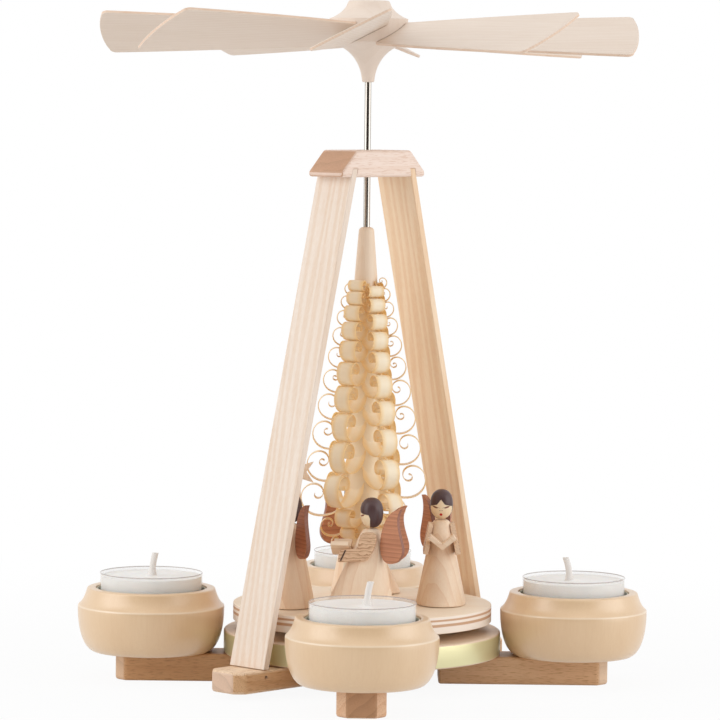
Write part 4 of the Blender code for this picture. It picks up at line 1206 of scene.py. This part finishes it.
def book_outline():
    """An open book seen from its end: two covers in a V."""
    slope = math.radians(BOOK_SLOPE)
    edge = Vector((BOOK_WIDTH * math.cos(slope), BOOK_WIDTH * math.sin(slope)))
    top = edge + BOOK_THICKNESS * Vector((-math.sin(slope), math.cos(slope)))
    lift = BOOK_THICKNESS / math.cos(slope)
    return [(0, 0), tuple(edge), tuple(top), (0, lift), (-top.x, top.y), (-edge.x, edge.y)]


def star_outline():
    points = []
    for k in range(10):
        radius = STAR_RADIUS if k % 2 == 0 else STAR_HOLLOW
        angle = math.radians(90 + STAR_TURN + 36 * k)
        points.append((radius * math.cos(angle), radius * math.sin(angle)))
    return points


def make_star(angel):
    """A star on a staff, where its CAD node stands."""
    node = "angel_left_star"
    low, high = extent(points_of(node, angel))
    outline = star_outline()
    right, top = max(x for x, y in outline), max(y for x, y in outline)
    centre = Vector((high.x - right, (low.y + high.y) / 2, high.z - top))
    star = sawn(node + "_wood", outline, high.y - low.y, EASED_FINE, 2)
    place_piece(star, "yxz", random_offset(), angel @ shift(*centre) @ STANDING,
                "rotor", "maple", "gown", node)
    length = centre.z - low.z
    staff = turned("angel_left_staff_wood", [(0, 0), (STAFF_TIP_RADIUS, 0), (STAFF_RADIUS, 0.0003),
                                             (STAFF_RADIUS, length), (0, length)], FINE_FACETS)
    place_piece(staff, "zxy", random_offset(), angel @ shift(centre.x, centre.y, low.z),
                "rotor", "maple", "gown")


def make_book(angel, node):
    """An open book, where its CAD node stands."""
    low, high = extent(points_of(node, angel))
    book = sawn(node + "_wood", book_outline(), high.y - low.y, EASED_FINE, 2)
    middle = shift((low.x + high.x) / 2, (low.y + high.y) / 2, low.z - BOOK_SINK)
    place_piece(book, "zxy", random_offset(), angel @ middle @ STANDING, "rotor", "maple", "gown", node)


def make_angel(side, direction):
    name = f"angel_{side}"
    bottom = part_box(f"{name}_body")[0].z
    angel = turn_z(direction) @ shift(ANGEL_RADIUS, 0, bottom) @ turn_z(ANGEL_TURNS[side])

    place_piece(make_gown(f"{name}_body_wood"), "zxy", random_offset(), angel, "rotor", "maple", "gown",
                f"{name}_body")
    for sleeve_side, label in ((1, "outer"), (-1, "inner")):
        place = angel @ sleeve_place(sleeve_side)
        sleeve = sawn(f"{name}_{label}_sleeve", sleeve_outline(), SLEEVE_THICKNESS, EASED_FINE, 2)
        mark_upright(sleeve)
        place_piece(sleeve, "xyz", random_offset(), place, "rotor", "maple", "sleeve")
        cuff = sawn(f"{name}_{label}_cuff", cuff_outline(), SLEEVE_THICKNESS + CUFF_PROUD, 0)
        place_piece(cuff, "xyz", NO_OFFSET, place, "rotor", "walnut", "ink")

    head_low, head_high = extent(points_of(f"{name}_head", angel))
    head = make_head(f"{name}_head_painted")
    settle(head, angel @ shift(*(head_low + head_high) / 2) @ turn_z(FACE_TURNS[side]))
    hand_over(head, "rotor", "painted", "head", f"{name}_head")

    outer_splay = STRAIGHT_WING_SPLAY if side in ("left", "right") else WING_SPLAY
    for wing_side, label, splay in ((1, "outer_wing", outer_splay), (-1, "inner_wing", WING_SPLAY)):
        node = f"{name}_{label}"
        wing = sawn(f"{node}_wood", wing_outline(), WING_THICKNESS, EASED_FINE, 2)
        place_piece(wing, "xyz", random_offset(), wing_place(node, wing_side, splay, angel),
                    "rotor", "walnut", "walnut", node)

    if side == "left":
        make_star(angel)
    else:
        make_book(angel, f"{name}_book")


# Fan
def hub_profile(height, bore, bore_depth):
    """Trumpet-shaped foot with a blind bore, a band for the blades, and a hollow shoulder to the cap."""
    neck, wide, band_bottom = HUB_NECK_RADIUS, HUB_RADIUS, HUB_BAND_BOTTOM
    band_top, cap_bottom = band_bottom + HUB_BAND, height - HUB_CAP_HEIGHT
    cap_foot = HUB_CAP_RADIUS + 0.0008
    shoulder, rise = wide - cap_foot, cap_bottom - band_top
    flare = bow((neck, 0.0003), (1.2 * neck, 0.45 * band_bottom), (0.42 * wide, 0.86 * band_bottom),
                (wide - 0.0003, band_bottom - 0.0001), 24)
    hollow = bow((wide, band_top), (wide - 0.5 * shoulder, band_top + 0.2 * rise),
                 (cap_foot + 0.1 * shoulder, band_top + 0.7 * rise), (cap_foot, cap_bottom), 16)
    cap = eased((HUB_CAP_RADIUS, height), (cap_foot, cap_bottom), (0, height), 0.0006)
    foot = [(0, bore_depth), (bore, bore_depth), (bore, 0), (neck - 0.0003, 0)]
    band = [(wide, band_bottom + 0.0002)]
    return foot + flare + band + hollow + [(cap_foot, cap_bottom)] + cap + [(0, height)]


def blade_outline(root, tip):
    """A blade along X, widening to a bowed tip with rounded corners."""
    half_root, half_tip = BLADE_ROOT_WIDTH / 2, BLADE_TIP_WIDTH / 2
    near, far = root + (tip - root) / 3, tip - (tip - root) / 3
    handle = half_root + (half_tip - half_root) / 3 + BLADE_SWELL
    far_handle = half_tip - (half_tip - half_root) / 3 + BLADE_SWELL
    edge = tip - BLADE_BULGE
    corner = (edge - BLADE_CORNER, half_tip - BLADE_CORNER)
    lower = bow((root, -half_root), (near, -handle), (far, -far_handle), (corner[0], -half_tip), 14)
    upper = bow((corner[0], half_tip), (far, far_handle), (near, handle), (root, half_root), 14)
    first = arc((corner[0], -corner[1]), BLADE_CORNER, -90, 0, 8)
    second = arc(corner, BLADE_CORNER, 0, 90, 8)
    bowed = bow((edge, -corner[1]), (tip, -0.4 * half_tip), (tip, 0.4 * half_tip), (edge, corner[1]), 14)[1:]
    return lower + first + bowed + second[:-1] + upper + [(root, half_root)]


def make_fan():
    low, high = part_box("fan_hub")
    shaft_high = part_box("shaft")[1]
    bore, bore_depth = shaft_high.x + SHAFT_PLAY, shaft_high.z - low.z + SHAFT_PLAY
    hub = turned("fan_hub_wood", hub_profile(high.z - low.z, bore, bore_depth))
    settle(hub, shift(0, 0, low.z))
    rise = raised(*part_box("fan_blade_1"))
    pitch = Matrix.Rotation(math.radians(BLADE_PITCH), 4, "X")
    slot_half, slot_end = BLADE_ROOT_WIDTH / 2 + SLOT_SIDE_PLAY, 1.5 * HUB_RADIUS
    for number in range(BLADE_COUNT):
        node = f"fan_blade_{number + 1}"
        place = rise @ turn_z(BLADE_PHASE + 360.0 / BLADE_COUNT * number) @ pitch
        root, tip = [corner.x for corner in extent(points_of(node, place))]
        blade = sawn(f"{node}_wood", blade_outline(root, tip), BLADE_THICKNESS, EASED_BLADE, 2)
        mark_upright(blade)
        place_piece(blade, "xyz", random_offset(), place, "fan", "lime", "lime", node)
        inner = root - SLOT_PLAY
        slot = sawn("blade_slot", [(inner, -slot_half), (slot_end, -slot_half), (slot_end, slot_half),
                                   (inner, slot_half)], BLADE_THICKNESS + SLOT_PLAY, 0)
        carve(hub, settle(slot, place))
    lay_grain(hub, "zxy", random_offset())
    hand_over(hub, "fan", "lime", "hub", "fan_hub")


make_arms()
make_beam()
make_disc_and_bearing()
make_legs()
make_bridge()
make_candles()
make_shaft_and_turntable()
make_tree()
for angel_side, angel_direction in ANGEL_DIRECTIONS.items():
    make_angel(angel_side, angel_direction)
make_fan()


# Stage: a white floor that keeps a soft shadow, white surroundings, a camera and soft lamps
def make_floor():
    """White where it is seen, with the object's shadow kept on the part of it that is near."""
    floor = begin("floor", bpy.ops.mesh.primitive_plane_add, size=FLOOR_SIZE, location=(0, 0, 0))
    finish = Finish("white_floor")
    place = finish.node("ShaderNodeTexCoord", {}, {}, "Object")
    far = finish.vector("LENGTH", place, (0, 0, 0), 1).between(*SHADOW_REACH)
    share = finish.seen_directly() * (far * SHADOW_SHARE + (1 - SHADOW_SHARE))
    glow = finish.node("ShaderNodeEmission", {}, {"Color": WHITE, "Strength": 1.0})
    paint = finish.node("ShaderNodeBsdfDiffuse", {}, {"Color": FLOOR_PAINT})
    finish.show(finish.node("ShaderNodeMixShader", {}, {0: share, 1: paint, 2: glow}))
    finish.tree.nodes.remove(finish.shader)
    floor.data.materials.append(finish.material)


def make_flag():
    """A dark card behind the camera, as a photographer stands there; only shiny surfaces see it."""
    flag = begin("dark_flag", bpy.ops.mesh.primitive_plane_add, size=1.0, location=FLAG_PLACE,
                 rotation=(math.pi / 2, 0, 0))
    flag.scale = FLAG_SIZE
    bpy.ops.object.transform_apply(location=True, rotation=True, scale=True)
    for ray in ("camera", "diffuse", "transmission", "shadow"):
        setattr(flag, "visible_" + ray, False)
    cloth = Finish("dark_cloth", Base_Color=srgb(60, 52, 46), Roughness=0.9)
    flag.data.materials.append(cloth.material)


def make_world():
    """White where it is seen, and plain even light elsewhere."""
    world = bpy.data.worlds.new("studio")
    bpy.context.scene.world = world
    world.use_nodes = True
    nodes = Nodes(world.node_tree)
    background = nodes.tree.nodes["Background"]
    strength = nodes.node("ShaderNodeMapRange", {}, {0: nodes.seen_directly(), 3: WORLD_LIGHT, 4: 1.0})
    nodes.put(WHITE, background.inputs["Color"])
    nodes.put(strength, background.inputs["Strength"])


def add_lamp(name, place, power):
    lamp = bpy.data.lights.new(name, "AREA")
    lamp.shape = "SQUARE"
    lamp.size = LAMP_SIZE
    lamp.energy = power
    holder = bpy.data.objects.new(name, lamp)
    holder.location = place
    holder.rotation_euler = (LAMP_TARGET - Vector(place)).to_track_quat("-Z", "Y").to_euler()
    bpy.context.scene.collection.objects.link(holder)


def make_camera():
    """The photograph's view: a long lens, a little above the bowls, tipped down and rolled slightly."""
    camera = bpy.data.cameras.new("camera")
    camera.lens = CAMERA_LENS
    camera.sensor_width = CAMERA_SENSOR
    camera.clip_end = CAMERA_REACH
    holder = bpy.data.objects.new("camera", camera)
    tilt = Matrix.Rotation(math.pi / 2 - CAMERA_DIP, 4, "X") @ Matrix.Rotation(CAMERA_ROLL, 4, "Z")
    holder.matrix_world = shift(*CAMERA_PLACE) @ tilt
    bpy.context.scene.collection.objects.link(holder)
    bpy.context.scene.camera = holder


make_floor()
make_flag()
make_world()
for lamp_name, (lamp_place, lamp_power) in LAMPS.items():
    add_lamp(lamp_name, lamp_place, lamp_power)
make_camera()
bpy.context.scene.view_settings.view_transform = "Standard"
